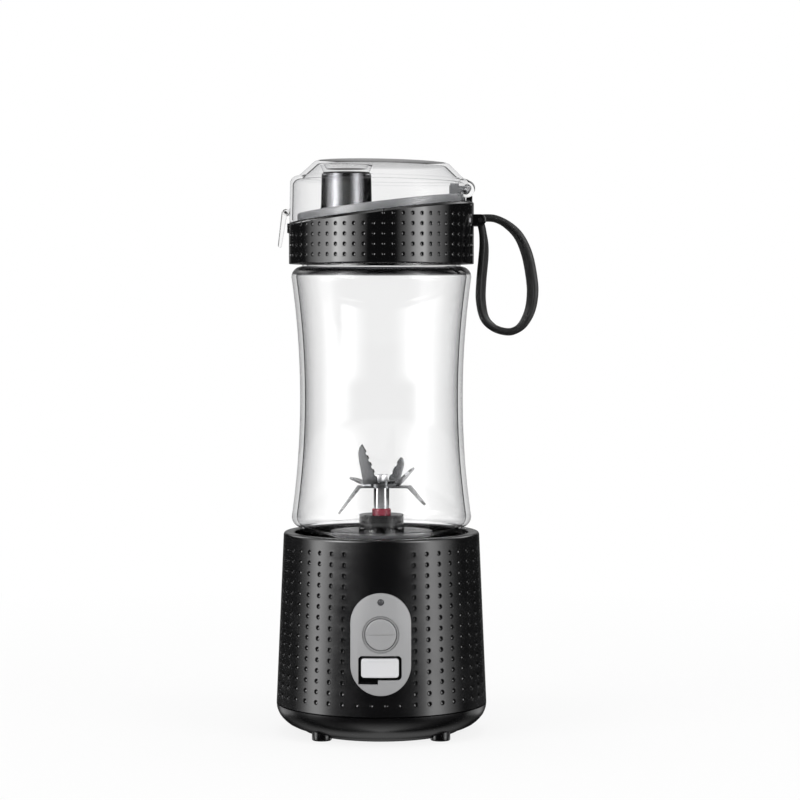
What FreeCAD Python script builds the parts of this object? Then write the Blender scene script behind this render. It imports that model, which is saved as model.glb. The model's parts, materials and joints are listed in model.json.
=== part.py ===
"""A cordless personal blender: a rechargeable motor base, a screw-on clear jar and a drinking cap.

Millimetres. Z is up, the front (button and charging port) faces -Y, the cap's hinge and the
carry strap are on +X. The origin is on the blade axis, at the height of the surface that the
rubber feet stand on. Each piece is written to its own STEP file.
"""
import FreeCAD, Part
import math
import os

Vector = FreeCAD.Vector

# ---------------------------------------------------------------- clearances
FIT = 0.05            # radial play of a pin, a spigot or a running shaft in its bore
SEAT = 0.1            # play between parts that are assembled against each other
SLIP = 0.3            # play between shells that move past each other
PAST = 1.0            # how far a cut runs past the face it opens
OVERRUN = 5.0         # the same where that face is slanted

# ---------------------------------------------------------------- base housing
FOOT_H = 1.5          # how far the feet stand out below the bottom shell
FOOT_R = 4.7
FOOT_SINK = 0.5       # depth of the foot pocket
FOOT_INSET = 10.0     # centres of the feet inside the widest radius
BOTTOM_ROUND_R = 10.1  # quarter round from the bottom plate to the seam
BOTTOM_WALL = 2.4
SEAM_GAP = 0.2
HOUSING_TAPER = 3.0   # how much slimmer the rim is than the seam
RIM_ROUND = 1.0
HOUSING_WALL = 2.6
RIM_W = 4.2           # wall of the round well that takes the neck of the jar
WELL_DEPTH = 15.5
WELL_FLOOR_T = 2.5
TOWER_R = 20.8        # motor tower in the middle of the well
TOWER_WALL = 2.2
TOWER_PLATE_T = 1.2
TOWER_PLATE_MARGIN = 0.5
TOWER_TOP_T = 2.4
BRACKET_SHELF_R = 12.0
BOSS_R = 2.8          # screw bosses that join the two halves of the base
BOSS_TOP_Z = 24.0
BOSS_RIB_T = 1.8
SCREW_R = 1.2
SCREW_HEAD_R = 2.1
SCREW_HEAD_T = 1.3
SCREW_LENGTH = 14.0

# ---------------------------------------------------------------- front panel
PANEL_W = 23.4
PANEL_H = 39.4
PANEL_SUNK = 0.9      # part of the panel that lies in its recess
PANEL_PROUD = 0.3     # part that stands out of the housing
BUTTON_R = 6.0
BUTTON_RISE = 3.8     # button's middle above the panel's middle
BUTTON_PLAY = 0.25
BUTTON_PROUD = 0.5
BUTTON_FLANGE = 1.2   # how far the retaining flange is wider than the button
BUTTON_FLANGE_T = 0.8
BUTTON_TRAVEL = 0.5
BUTTON_STEM_R = 1.6
BUTTON_STEM_L = 0.3
BEZEL_W = 0.9         # bevel round the button
LENS_R = 1.25
LENS_RISE = 16.2
PORT_X = -0.3
PORT_DROP = 9.1       # port's middle below the panel's middle
PORT_W = 16.4
PORT_H = 9.2
PORT_CORNER_R = 1.5
PORT_DEPTH = 2.35     # from the housing's face to the floor of the recess
PORT_BOSS_T = 1.9
NOTCH_W = 7.6         # finger notch at the lower left of the port
NOTCH_DROP = 1.7
COVER_GAP = 0.8       # dark gap all round the port cover
COVER_BACK_GAP = 0.2

# ---------------------------------------------------------------- electrics
BOARD_W = 22.0
BOARD_T = 1.6
BOARD_SETBACK = 8.2   # from the housing's face to the board
BOARD_DROP = 3.9      # lower edge of the board below the port's middle
BOARD_HEADROOM = 2.0  # from the board up to the floor of the well
RAIL_T = 2.0
SWITCH_W = 6.0
PLUNGER_R = 1.7
PLUNGER_L = 0.6
SOCKET_W = 8.9
SOCKET_H = 3.2
SOCKET_WALL = 0.35
SOCKET_SETBACK = 0.5
SOCKET_DEPTH = 4.6
TONGUE_H = 0.7
TONGUE_W = 6.6
LED_R = 1.5
CELL_R = 9.1
CELL_L = 65.0
CELL_GAP = 0.6
CELL_ROOM = 9.5       # from the ends of the cells to the housing's face at the seam
TRAY_RISE = 2.1       # tray above the bottom shell's wall
TRAY_T = 1.4
TRAY_WALL = 0.8
TRAY_WALL_H = 9.0
TRAY_MARGIN = 3.9     # tray past the ends of the cells
STRIP_T = 0.3
STRIP_H = 12.0
LEAD_R = 0.7

# ---------------------------------------------------------------- motor and drive
MOTOR_R = 14.0
MOTOR_RISE = 3.5      # top of the motor above the floor of the well
MOTOR_GAP = 1.8       # from the cells up to the motor's end cap
MOTOR_L = 36.5
MOTOR_WALL = 1.2
END_CAP_T = 4.0
END_CAP_FLOOR_T = 1.2  # under the shaft's blind bore
END_CAP_SPIGOT = 2.0
MAGNET_T = 2.0
MAGNET_L = 26.0
MAGNET_ARC = 130.0
ARMATURE_R = 10.0
ARMATURE_L = 22.0
MOTOR_SHAFT_R = 1.6
MOTOR_BOSS_R = 5.0
BRACKET_T = 2.0
MOTOR_SCREW_CIRCLE_R = 8.0
BRACKET_SCREW_CIRCLE_R = 16.4
SMALL_SCREW_R = 1.0
SMALL_SCREW_HEAD_R = 1.7
SMALL_SCREW_HEAD_T = 1.1
COUPLING_R = 5.0
COUPLING_GAP = 0.6    # from the motor bracket up to the coupling
COUPLING_HEADROOM = 0.4
SHAFT_R = 3.1
SHAFT_GRIP = 2.0      # length of drive shaft inside the coupling
PEDESTAL_R = 8.9
PEDESTAL_H = 6.8
PEDESTAL_FOOT_W = 0.7
PEDESTAL_FOOT_H = 1.7
PEDESTAL_SPIGOT_R = 7.2
PEDESTAL_LIP_T = 1.6
BEARING_R = 6.2
BEARING_T = 4.0
SEAL_R = 3.8
SEAL_TOP_R = 3.6
SEAL_H = 2.4          # how far the seal stands out of the pedestal
HEX_R = 3.1           # hexagonal part of the shaft, over its corners
BLADE_RISE = 10.6     # blade seat above the pedestal
STUD_R = 2.0
BLADE_T = 0.9
HUB_R = 4.4
NUT_R = 2.9
NUT_H = 2.5

# Each blade arm: direction round the axis, degrees; radius where it bends; radius and height
# above its hub of the tip; width; whether its cutting edge is serrated.
UPPER_ARMS = ((238.0, 8.0, 13.2, 15.6, 6.6, True), (38.0, 6.3, 9.5, 9.5, 6.6, True))
MIDDLE_ARMS = ((150.0, 6.8, 15.3, 2.0, 5.4, False), (336.0, 6.8, 14.6, 7.0, 5.4, False))
LOWER_ARMS = ((188.0, 9.0, 17.2, -11.0, 5.6, True), (348.0, 11.4, 17.9, -7.0, 5.6, False))
# Leaf outline of an arm past its bend, from the back round the tip to the cutting edge: shares
# of its length and of its half width.
ARM_BACK = ((0.6, -1.0), (0.78, -0.9), (0.92, -0.62))
ARM_TIP = (1.0, -0.25)
ARM_EDGE = ((0.85, 0.1), (0.15, 1.0))
SERRATION_R = 0.8
SERRATION_PITCH = 2.4

# ---------------------------------------------------------------- jar
NECK_GAP = 3.2        # from the wall of the well to the jar's neck
JAR_ROUND = 4.2       # shoulder radius out from the neck to the waisted side
JAR_WAIST = 3.4       # how far the side pulls in at its middle
JAR_GAP = 1.8         # from the rim of the base up to the jar's shoulder
JAR_SIDE_H = 95.4
JAR_WALL = 2.2
JAR_TOP_NECK_H = 12.9
JAR_GASKET_T = 1.8
JAR_GASKET_MARGIN = 0.3
JAR_LEAD = 20.0       # travel per turn of the four-start thread
JAR_STARTS = 4
JAR_THREAD_SPAN = 70.0
JAR_THREAD_RISE = 5.5  # start of the thread above the floor of the well
JAR_THREAD_H = 1.7
WELL_THREAD_H = 2.3
THREAD_ROOT_W = 2.2
THREAD_TIP_W = 1.2

# ---------------------------------------------------------------- cap
CAP_BORE_GAP = 2.6    # from the jar's upper neck to the ring
CAP_WALL = 2.6
CAP_GAP = 0.9         # from the jar's shoulder up to the ring
CAP_MID_H = 21.4      # ring height on the axis, up to its slanted edge
CAP_SLANT = 6.77      # degrees, rising towards the hinge
WEB_T = 1.8
CAP_GASKET_T = 0.9
CAP_LEAD = 12.0
CAP_STARTS = 3
CAP_THREAD_SPAN = 80.0
CAP_THREAD_RISE = 4.3  # start of the thread above the ring's lower edge
JAR_TOP_THREAD_H = 1.5
CAP_THREAD_H = 2.0
CAP_ROOT_W = 1.8
CAP_TIP_W = 1.0
DECK_GAP = 0.8        # from the ring's bore to the deck
DECK_WALL = 1.6
DECK_RISE = 2.1       # deck surface above the ring's slanted edge
DECK_T = 1.6
DECK_RIM_H = 0.5
SPOUT_X = -13.9
SPOUT_R = 9.9
SPOUT_FLARE = 0.6     # how much wider the spout is at its foot
SPOUT_WALL = 1.6

# ---------------------------------------------------------------- flip cover
COVER_INSET = 0.5     # how far the cover stands inside the ring's face
COVER_WALL = 1.4
COVER_SHOULDER_H = 4.6  # shoulder above the hinge axis
COVER_ROUND = 3.0
COVER_LEDGE = 0.3     # flat ring between the rounded shoulder and the cone
COVER_CONE_W = 6.6
COVER_CONE_H = 6.2
COVER_TILT = 1.2      # degrees, the top falls towards the hinge
PLUG_INSET = 0.6      # foot of the plug inside the spout's outer face
PLUG_FLARE = 1.5      # how much wider the plug is at its top
PLUG_WALL = 1.4
PLUG_H = 4.1          # plug under the cover, above its seal
PLUG_SEAL_T = 0.7
SEAL_LAP = 1.0        # how far the seal reaches in over the spout's bore
HINGE_INSET = 2.9     # hinge axis inside the ring's face
HINGE_RISE = 8.3      # hinge axis above the slanted edge's middle
HINGE_R = 3.2
HINGE_HALF_W = 7.6
CRADLE_DROP = 2.6     # how far the ring's cradle stays below the hinge axis
SKIRT_DROP = 2.0      # how far the cover's skirt reaches below the axis beside the hinge
CHEEK_T = 3.0
CHEEK_L = 6.7         # from the hinge axis to the foot of the cheek
PIN_R = 1.0
LATCH_OUT = 1.1       # latch pin outside the ring's face
LATCH_DROP = 1.0      # latch pin below the slanted edge's middle
LATCH_BARREL_R = 1.3
LATCH_HALF_W = 4.0
LATCH_EAR_T = 1.6
LATCH_T = 2.0
LATCH_FLARE = 2.6     # how far the tip of the latch stands out past its pin
LATCH_L = 13.7
LATCH_PIN_R = 0.5
CATCH_HALF_W = 2.6
CATCH_OUT = 0.6
CATCH_DROP = 4.3      # top of the catch below the latch pin
CATCH_H = 3.8

# ---------------------------------------------------------------- strap
STRAP_PIN_DROP = 4.0  # strap pin below the slanted edge's middle
STRAP_PIN_R = 0.9
STRAP_EYE_R = 2.3
STRAP_EAR_T = 1.6
STRAP_W = 7.0
STRAP_T = 3.0
# The strap's middle line as it hangs, from the top of the eye round to its foot: distance out
# from the pin, drop below the pin, and the twist of the band in degrees.
STRAP_LINE = (
    (0.6, -0.9, 0.0), (5.8, -0.7, 0.0), (10.8, 1.7, 6.0), (15.4, 6.2, 12.0),
    (18.6, 13.1, 18.0), (20.4, 21.5, 20.0), (21.0, 28.7, 20.0), (19.9, 35.9, 16.0),
    (16.9, 41.6, 8.0), (13.0, 44.1, 0.0), (8.9, 44.0, 0.0), (5.0, 42.3, 8.0),
    (1.8, 38.6, 14.0), (0.4, 31.6, 18.0), (0.6, 23.9, 18.0), (1.4, 15.1, 18.0),
    (1.6, 9.5, 14.0), (1.0, 4.1, 6.0), (0.2, 0.9, 0.0),
)

# ---------------------------------------------------------------- derived sizes
SEAM_Z = FOOT_H + BOTTOM_ROUND_R
SEAM_R = CELL_L / 2 + CELL_ROOM
RIM_R = SEAM_R - HOUSING_TAPER
WELL_R = RIM_R - RIM_W
FOOT_CIRCLE_R = SEAM_R - FOOT_INSET
TRAY_R = CELL_L / 2 + TRAY_MARGIN
TRAY_Z = FOOT_H + BOTTOM_WALL + TRAY_RISE
CELL_Y = CELL_R + CELL_GAP / 2
CELL_Z = TRAY_Z + TRAY_T + SEAT + CELL_R
MOTOR_TOP_Z = CELL_Z + CELL_R + MOTOR_GAP + END_CAP_T + MOTOR_L
WELL_FLOOR_Z = MOTOR_TOP_Z - MOTOR_RISE
RIM_Z = WELL_FLOOR_Z + WELL_DEPTH
WELL_UNDER_Z = WELL_FLOOR_Z - WELL_FLOOR_T
TOWER_TOP_Z = RIM_Z - TOWER_PLATE_T
TOWER_BORE_R = TOWER_R - TOWER_WALL
BRACKET_TOP_Z = MOTOR_TOP_Z + BRACKET_T
PEDESTAL_TOP_Z = RIM_Z + PEDESTAL_H
PANEL_Z = RIM_Z / 2
BUTTON_Z = PANEL_Z + BUTTON_RISE
LENS_Z = PANEL_Z + LENS_RISE
PORT_Z = PANEL_Z - PORT_DROP
BOARD_Z0 = PORT_Z - BOARD_DROP
BOARD_Z1 = WELL_UNDER_Z - BOARD_HEADROOM
COUPLING_Z0 = BRACKET_TOP_Z + COUPLING_GAP
COUPLING_Z1 = TOWER_TOP_Z - TOWER_TOP_T - COUPLING_HEADROOM
SHAFT_JOIN_Z = COUPLING_Z1 - SHAFT_GRIP
BLADE_SEAT_Z = PEDESTAL_TOP_Z + BLADE_RISE
JAR_NECK_R = WELL_R - NECK_GAP
JAR_END_R = JAR_NECK_R + JAR_ROUND
JAR_WAIST_R = JAR_END_R - JAR_WAIST
JAR_FOOT_Z = WELL_FLOOR_Z + JAR_GASKET_T
JAR_LOW_Z = RIM_Z + JAR_GAP
JAR_SIDE_Z0 = JAR_LOW_Z + JAR_ROUND
JAR_SIDE_Z1 = JAR_SIDE_Z0 + JAR_SIDE_H
JAR_HIGH_Z = JAR_SIDE_Z1 + JAR_ROUND
JAR_NECK_TOP_Z = JAR_HIGH_Z + JAR_TOP_NECK_H
JAR_THREAD_Z = WELL_FLOOR_Z + JAR_THREAD_RISE
CAP_BORE_R = JAR_NECK_R + CAP_BORE_GAP
CAP_R = CAP_BORE_R + CAP_WALL
CAP_Z0 = JAR_HIGH_Z + CAP_GAP
CAP_MID_Z = CAP_Z0 + CAP_MID_H
CAP_THREAD_Z = CAP_Z0 + CAP_THREAD_RISE
WEB_Z0 = JAR_NECK_TOP_Z + CAP_GASKET_T
WEB_Z1 = WEB_Z0 + WEB_T
DECK_R = CAP_BORE_R - DECK_GAP
HINGE_X = CAP_R - HINGE_INSET
HINGE_Z = CAP_MID_Z + HINGE_RISE
CHEEK_FOOT_X = HINGE_X - CHEEK_L
COVER_R = CAP_R - COVER_INSET
COVER_CONE_R = COVER_R - COVER_ROUND - COVER_LEDGE
COVER_TOP_R = COVER_CONE_R - COVER_CONE_W
COVER_SHOULDER_Z = HINGE_Z + COVER_SHOULDER_H
COVER_TOP_Z = COVER_SHOULDER_Z + COVER_CONE_H
SPOUT_BORE_R = SPOUT_R - SPOUT_WALL
SPOUT_FOOT_R = SPOUT_R + SPOUT_FLARE
PLUG_R = SPOUT_R - PLUG_INSET
PLUG_TOP_R = PLUG_R + PLUG_FLARE
SPOUT_TOP_Z = COVER_TOP_Z - PLUG_H - PLUG_SEAL_T
LATCH_X = -CAP_R - LATCH_OUT
LATCH_Z = CAP_MID_Z - LATCH_DROP
LATCH_TIP_X = LATCH_X - LATCH_FLARE
LATCH_TIP_Z = LATCH_Z - LATCH_L
CATCH_Z1 = LATCH_Z - CATCH_DROP
CATCH_Z0 = CATCH_Z1 - CATCH_H
STRAP_PIN_X = CAP_R + STRAP_EYE_R + SEAT
STRAP_PIN_Z = CAP_MID_Z - STRAP_PIN_DROP
HUB_Z = (BLADE_SEAT_Z, BLADE_SEAT_Z + BLADE_T, BLADE_SEAT_Z + 2 * BLADE_T)
NUT_Z = BLADE_SEAT_Z + 3 * BLADE_T
DIAGONALS = (45.0, 135.0, 225.0, 315.0)


def housing_r(z):
    """Radius of the tapered face of the housing."""
    return SEAM_R + (RIM_R - SEAM_R) * (z - SEAM_Z) / (RIM_Z - SEAM_Z)


PORT_FLOOR_Y = PORT_DEPTH - housing_r(PORT_Z)
BOARD_FRONT_Y = BOARD_SETBACK - housing_r(BUTTON_Z)
BACK_OF_BOARD_Y = BOARD_FRONT_Y + BOARD_T
FAR_Y = -SEAM_R - HOUSING_WALL  # in front of the whole housing, where front cuts start


# ---------------------------------------------------------------- building blocks
def disc(r, z0, z1, x=0.0, y=0.0):
    return Part.makeCylinder(r, z1 - z0, Vector(x, y, z0))


def ring(r_out, r_in, z0, z1, x=0.0, y=0.0):
    return disc(r_out, z0, z1, x, y).cut(disc(r_in, z0, z1, x, y))


def block(x0, x1, y0, y1, z0, z1):
    return Part.makeBox(x1 - x0, y1 - y0, z1 - z0, Vector(x0, y0, z0))


def rod_y(r, x, z, y0, y1):
    return Part.makeCylinder(r, y1 - y0, Vector(x, y0, z), Vector(0, 1, 0))


def turn(shape, degrees):
    copy = shape.copy()
    copy.rotate(Vector(0, 0, 0), Vector(0, 0, 1), degrees)
    return copy


def polar(radius, degrees):
    angle = math.radians(degrees)
    return radius * math.cos(angle), radius * math.sin(angle)


def revolved(edges):
    """Revolve a closed outline of (r, z) edges in the XZ plane about Z."""
    face = Part.Face(Part.Wire(Part.__sortEdges__(edges)))
    return face.revolve(Vector(0, 0, 0), Vector(0, 0, 1), 360)


def at(r, z):
    return Vector(r, 0, z)


def line(p, q):
    return Part.LineSegment(at(*p), at(*q)).toShape()


def arc(p, middle, q):
    return Part.Arc(at(*p), at(*middle), at(*q)).toShape()


def path(*points):
    return [line(p, q) for p, q in zip(points, points[1:])]


def turned(*points):
    """Revolve a closed polygon of (r, z) corners about Z."""
    return revolved(path(*points, points[0]))


def fused(first, *others):
    return first.multiFuse(list(others)).removeSplitter() if others else first


def thread(r_root, r_tip, z, lead, starts, span, root_w, tip_w):
    """Thread ridges, one per start, each a ruled strip that climbs along the helix."""
    steps = 10
    sections = []
    for i in range(steps + 1):
        angle = span * i / steps
        rise = z + lead * angle / 360
        corners = []
        for r, half in ((r_root, -root_w), (r_tip, -tip_w), (r_tip, tip_w), (r_root, root_w)):
            x, y = polar(r, angle)
            corners.append(Vector(x, y, rise + half / 2))
        sections.append(Part.makePolygon(corners + corners[:1]))
    ridge = Part.makeLoft(sections, True, True)
    return [turn(ridge, 360.0 * i / starts) for i in range(starts)]


def rounded_slab(x, z, w, h, r, y0, y1):
    """A plate across the Y direction with rounded corners."""
    slab = block(x - w / 2, x + w / 2, y0, y1, z - h / 2, z + h / 2)
    upright = [e for e in slab.Edges if abs(e.tangentAt(e.FirstParameter).y) > 0.99]
    return slab.makeFillet(r, upright)


def export(name, *solids):
    shape = solids[0] if len(solids) == 1 else Part.makeCompound(list(solids))
    shape.exportStep(f"parts/{name}.step")


# ---------------------------------------------------------------- shared surfaces
def housing_skin(offset, z0, z1):
    """Solid inside the tapered outer face of the housing, moved out by an offset."""
    return Part.makeCone(housing_r(z0) + offset, housing_r(z1) + offset, z1 - z0,
                         Vector(0, 0, z0))


def panel_outline(grow):
    """Stadium-shaped bar through the front of the housing."""
    w, h = PANEL_W + 2 * grow, PANEL_H + 2 * grow
    return rounded_slab(0, PANEL_Z, w, h, w / 2 - 0.01, FAR_Y, 0)


def cap_space(offset):
    """Everything under the cap's slanted edge, moved up by an offset."""
    reach = 3 * CAP_R
    space = block(-reach, reach, -reach, reach, -reach, 0)
    space.rotate(Vector(0, 0, 0), Vector(0, 1, 0), -CAP_SLANT)
    space.translate(Vector(0, 0, CAP_MID_Z + offset))
    return space


def cap_edge_z(x):
    return CAP_MID_Z + x * math.tan(math.radians(CAP_SLANT))


def under_slant(r, z0, offset):
    """A round bar from z0 up to the slanted plane."""
    return disc(r, z0, cap_edge_z(CAP_R) + offset + OVERRUN).common(cap_space(offset))


# ---------------------------------------------------------------- base
def port_opening(y0, y1):
    opening = rounded_slab(PORT_X, PORT_Z, PORT_W, PORT_H, PORT_CORNER_R, y0, y1)
    x0 = PORT_X - PORT_W / 2
    z0 = PORT_Z - PORT_H / 2
    notch = block(x0, x0 + NOTCH_W, y0, y1, z0 - NOTCH_DROP, PORT_Z)
    return fused(opening, notch)


def make_base_housing():
    z0 = SEAM_Z + SEAM_GAP
    rim_in = RIM_R - RIM_ROUND
    bevel = RIM_ROUND * (1 - math.sqrt(0.5))
    outline = path((rim_in, RIM_Z), (WELL_R, RIM_Z), (WELL_R, WELL_FLOOR_Z),
                   (TOWER_R, WELL_FLOOR_Z), (TOWER_R, TOWER_TOP_Z),
                   (PEDESTAL_SPIGOT_R + FIT, TOWER_TOP_Z),
                   (PEDESTAL_SPIGOT_R + FIT, TOWER_TOP_Z - TOWER_TOP_T),
                   (BRACKET_SHELF_R, TOWER_TOP_Z - TOWER_TOP_T),
                   (BRACKET_SHELF_R, BRACKET_TOP_Z + SEAT),
                   (TOWER_BORE_R, BRACKET_TOP_Z + SEAT), (TOWER_BORE_R, WELL_UNDER_Z),
                   (housing_r(WELL_UNDER_Z) - HOUSING_WALL, WELL_UNDER_Z),
                   (housing_r(z0) - HOUSING_WALL, z0), (housing_r(z0), z0),
                   (housing_r(RIM_Z - RIM_ROUND), RIM_Z - RIM_ROUND))
    corner = arc((housing_r(RIM_Z - RIM_ROUND), RIM_Z - RIM_ROUND),
                 (RIM_R - bevel, RIM_Z - bevel), (rim_in, RIM_Z))
    shell = revolved(outline + [corner])
    inside = housing_skin(-HOUSING_WALL / 2, z0, WELL_UNDER_Z)
    added = list(thread(WELL_R + 0.4, WELL_R - WELL_THREAD_H,
                        JAR_THREAD_Z + JAR_LEAD / JAR_STARTS / 2, JAR_LEAD, JAR_STARTS,
                        JAR_THREAD_SPAN, THREAD_ROOT_W, THREAD_TIP_W))
    for angle in DIAGONALS:
        x, y = polar(FOOT_CIRCLE_R, angle)
        rib = block(FOOT_CIRCLE_R, SEAM_R, -BOSS_RIB_T / 2, BOSS_RIB_T / 2, z0, BOSS_TOP_Z)
        added.append(disc(BOSS_R, z0, BOSS_TOP_Z, x, y))
        added.append(turn(rib, angle).common(inside))
    rail_in = BOARD_W / 2 + SEAT
    for side in (-1, 1):
        ends = sorted((side * rail_in, side * (rail_in + RAIL_T)))
        rail = block(*ends, -SEAM_R, BACK_OF_BOARD_Y, BOARD_Z0, BOARD_Z1)
        added.append(rail.common(housing_skin(-HOUSING_WALL / 2, BOARD_Z0, BOARD_Z1)))
    boss_w, boss_h = PORT_W + 2 * PORT_BOSS_T, PORT_H + 2 * NOTCH_DROP + 2 * PORT_BOSS_T
    port_boss = block(PORT_X - boss_w / 2, PORT_X + boss_w / 2, -SEAM_R,
                      PORT_FLOOR_Y + PORT_BOSS_T, PORT_Z - boss_h / 2, PORT_Z + boss_h / 2)
    added.append(port_boss.common(housing_skin(-HOUSING_WALL / 2, z0, WELL_UNDER_Z)))
    shell = fused(shell, *added)
    recess = panel_outline(SEAT).cut(housing_skin(-PANEL_SUNK - SEAT, z0, RIM_Z))
    cuts = [recess, port_opening(FAR_Y, PORT_FLOOR_Y)]
    cuts.append(rounded_slab(PORT_X, PORT_Z, SOCKET_W + 2 * SLIP, SOCKET_H + 2 * SLIP,
                             SOCKET_H / 2, PORT_FLOOR_Y - PAST, BOARD_FRONT_Y))
    cuts.append(rod_y(BUTTON_R + BUTTON_PLAY, 0, BUTTON_Z, -SEAM_R, BOARD_FRONT_Y))
    cuts.append(rod_y(LENS_R + FIT, 0, LENS_Z, -SEAM_R, BOARD_FRONT_Y))
    for angle in DIAGONALS:
        x, y = polar(FOOT_CIRCLE_R, angle)
        cuts.append(disc(SCREW_R + FIT, z0 - PAST, BOSS_TOP_Z - PAST, x, y))
    for spot in bracket_screw_spots():
        cuts.append(disc(SMALL_SCREW_R + FIT, BRACKET_TOP_Z, bracket_screw_top() + SEAT, *spot))
    return shell.cut(Part.makeCompound(cuts))


def make_bottom_shell():
    round_in = SEAM_R - BOTTOM_ROUND_R
    slope = math.sqrt(0.5)
    inner_r = BOTTOM_ROUND_R - BOTTOM_WALL
    edges = [line((0, FOOT_H), (round_in, FOOT_H)),
             arc((round_in, FOOT_H),
                 (round_in + BOTTOM_ROUND_R * slope, SEAM_Z - BOTTOM_ROUND_R * slope),
                 (SEAM_R, SEAM_Z)),
             line((SEAM_R, SEAM_Z), (SEAM_R - BOTTOM_WALL, SEAM_Z)),
             arc((SEAM_R - BOTTOM_WALL, SEAM_Z),
                 (round_in + inner_r * slope, SEAM_Z - inner_r * slope),
                 (round_in, FOOT_H + BOTTOM_WALL)),
             line((round_in, FOOT_H + BOTTOM_WALL), (0, FOOT_H + BOTTOM_WALL)),
             line((0, FOOT_H + BOTTOM_WALL), (0, FOOT_H))]
    added, cuts = [], []
    for angle in DIAGONALS:
        x, y = polar(FOOT_CIRCLE_R, angle)
        added.append(disc(BOSS_R, FOOT_H + BOTTOM_WALL / 2, SEAM_Z, x, y))
        cuts.append(disc(FOOT_R + SEAT, 0, FOOT_H + FOOT_SINK, x, y))
        cuts.append(disc(SCREW_HEAD_R + SEAT, 0, screw_head_z() + SCREW_HEAD_T, x, y))
        cuts.append(disc(SCREW_R + FIT, 0, SEAM_Z + PAST, x, y))
    for x in (-CELL_L / 4, CELL_L / 4):
        added.append(disc(BOSS_R, FOOT_H + BOTTOM_WALL / 2, TRAY_Z, x, 0))
    return fused(revolved(edges), *added).cut(Part.makeCompound(cuts))


def screw_head_z():
    return FOOT_H + FOOT_SINK + SEAT


def make_screws():
    screws = []
    for angle in DIAGONALS:
        x, y = polar(FOOT_CIRCLE_R, angle)
        head_top = screw_head_z() + SCREW_HEAD_T
        screws.append(fused(disc(SCREW_HEAD_R, screw_head_z(), head_top, x, y),
                            disc(SCREW_R, screw_head_z(), head_top + SCREW_LENGTH, x, y)))
    return screws


def make_feet():
    return [disc(FOOT_R, 0, FOOT_H + FOOT_SINK, *polar(FOOT_CIRCLE_R, a)) for a in DIAGONALS]


def make_control_panel():
    z0, z1 = PANEL_Z - PANEL_H, PANEL_Z + PANEL_H
    sheet = housing_skin(PANEL_PROUD, z0, z1).cut(housing_skin(-PANEL_SUNK, z0, z1))
    plate = panel_outline(0).common(sheet)
    face_y = -housing_r(BUTTON_Z) - PANEL_PROUD
    hole_r = BUTTON_R + BUTTON_PLAY
    bevel = Part.makeCone(hole_r + 2 * BEZEL_W, hole_r, 2 * BEZEL_W,
                          Vector(0, face_y - BEZEL_W, BUTTON_Z), Vector(0, 1, 0))
    return plate.cut(Part.makeCompound([
        bevel,
        rod_y(hole_r, 0, BUTTON_Z, FAR_Y, 0),
        rod_y(LENS_R + FIT, 0, LENS_Z, FAR_Y, 0),
        port_opening(FAR_Y, 0),
    ]))


def button_back_y():
    """Back of the button's flange, just inside the housing wall and the boss of the port."""
    edge = BUTTON_R + BUTTON_FLANGE
    wall = min(housing_r(BUTTON_Z + edge), housing_r(BUTTON_Z - edge)) - HOUSING_WALL
    front = max(-math.sqrt(wall ** 2 - edge ** 2), PORT_FLOOR_Y + PORT_BOSS_T)
    return front + SLIP + BUTTON_FLANGE_T


def make_power_button():
    back = button_back_y()
    skin = housing_skin(PANEL_PROUD + BUTTON_PROUD, BUTTON_Z - 3 * BUTTON_R,
                        BUTTON_Z + 3 * BUTTON_R)
    cap = rod_y(BUTTON_R, 0, BUTTON_Z, FAR_Y, back).common(skin)
    flange = rod_y(BUTTON_R + BUTTON_FLANGE, 0, BUTTON_Z, back - BUTTON_FLANGE_T, back)
    stem = rod_y(BUTTON_STEM_R, 0, BUTTON_Z, back - BUTTON_FLANGE_T, back + BUTTON_STEM_L)
    return fused(cap, flange, stem)


def make_port_cover():
    skin = housing_skin(PANEL_PROUD, PORT_Z - 2 * PORT_H, PORT_Z + 2 * PORT_H)
    slab = rounded_slab(PORT_X, PORT_Z, PORT_W - 2 * COVER_GAP, PORT_H - 2 * COVER_GAP,
                        PORT_CORNER_R - COVER_GAP / 2, FAR_Y,
                        PORT_FLOOR_Y - COVER_BACK_GAP)
    return slab.common(skin)


# ---------------------------------------------------------------- electrics
def make_circuit_board():
    return block(-BOARD_W / 2, BOARD_W / 2, BOARD_FRONT_Y, BACK_OF_BOARD_Y,
                 BOARD_Z0, BOARD_Z1)


def make_button_switch():
    tip = button_back_y() + BUTTON_STEM_L + BUTTON_TRAVEL + SEAT
    half = SWITCH_W / 2
    body = block(-half, half, tip + PLUNGER_L, BOARD_FRONT_Y, BUTTON_Z - half, BUTTON_Z + half)
    plunger = rod_y(PLUNGER_R, 0, BUTTON_Z, tip, BOARD_FRONT_Y)
    return fused(body, plunger)


def make_charge_socket():
    front = PORT_FLOOR_Y + SOCKET_SETBACK
    shell = rounded_slab(PORT_X, PORT_Z, SOCKET_W, SOCKET_H, SOCKET_H / 2 - 0.01, front,
                         BOARD_FRONT_Y)
    mouth = rounded_slab(PORT_X, PORT_Z, SOCKET_W - 2 * SOCKET_WALL,
                         SOCKET_H - 2 * SOCKET_WALL, SOCKET_H / 2 - SOCKET_WALL - 0.01,
                         front - PAST, front + SOCKET_DEPTH)
    tongue = block(PORT_X - TONGUE_W / 2, PORT_X + TONGUE_W / 2, front + SOCKET_SETBACK,
                   BOARD_FRONT_Y, PORT_Z - TONGUE_H / 2, PORT_Z + TONGUE_H / 2)
    return fused(shell.cut(mouth), tongue)


def lens_back_y():
    return -(housing_r(LENS_Z) - HOUSING_WALL) + SLIP


def make_indicator_led():
    return rod_y(LED_R, 0, LENS_Z, lens_back_y() + SEAT, BOARD_FRONT_Y)


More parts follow.
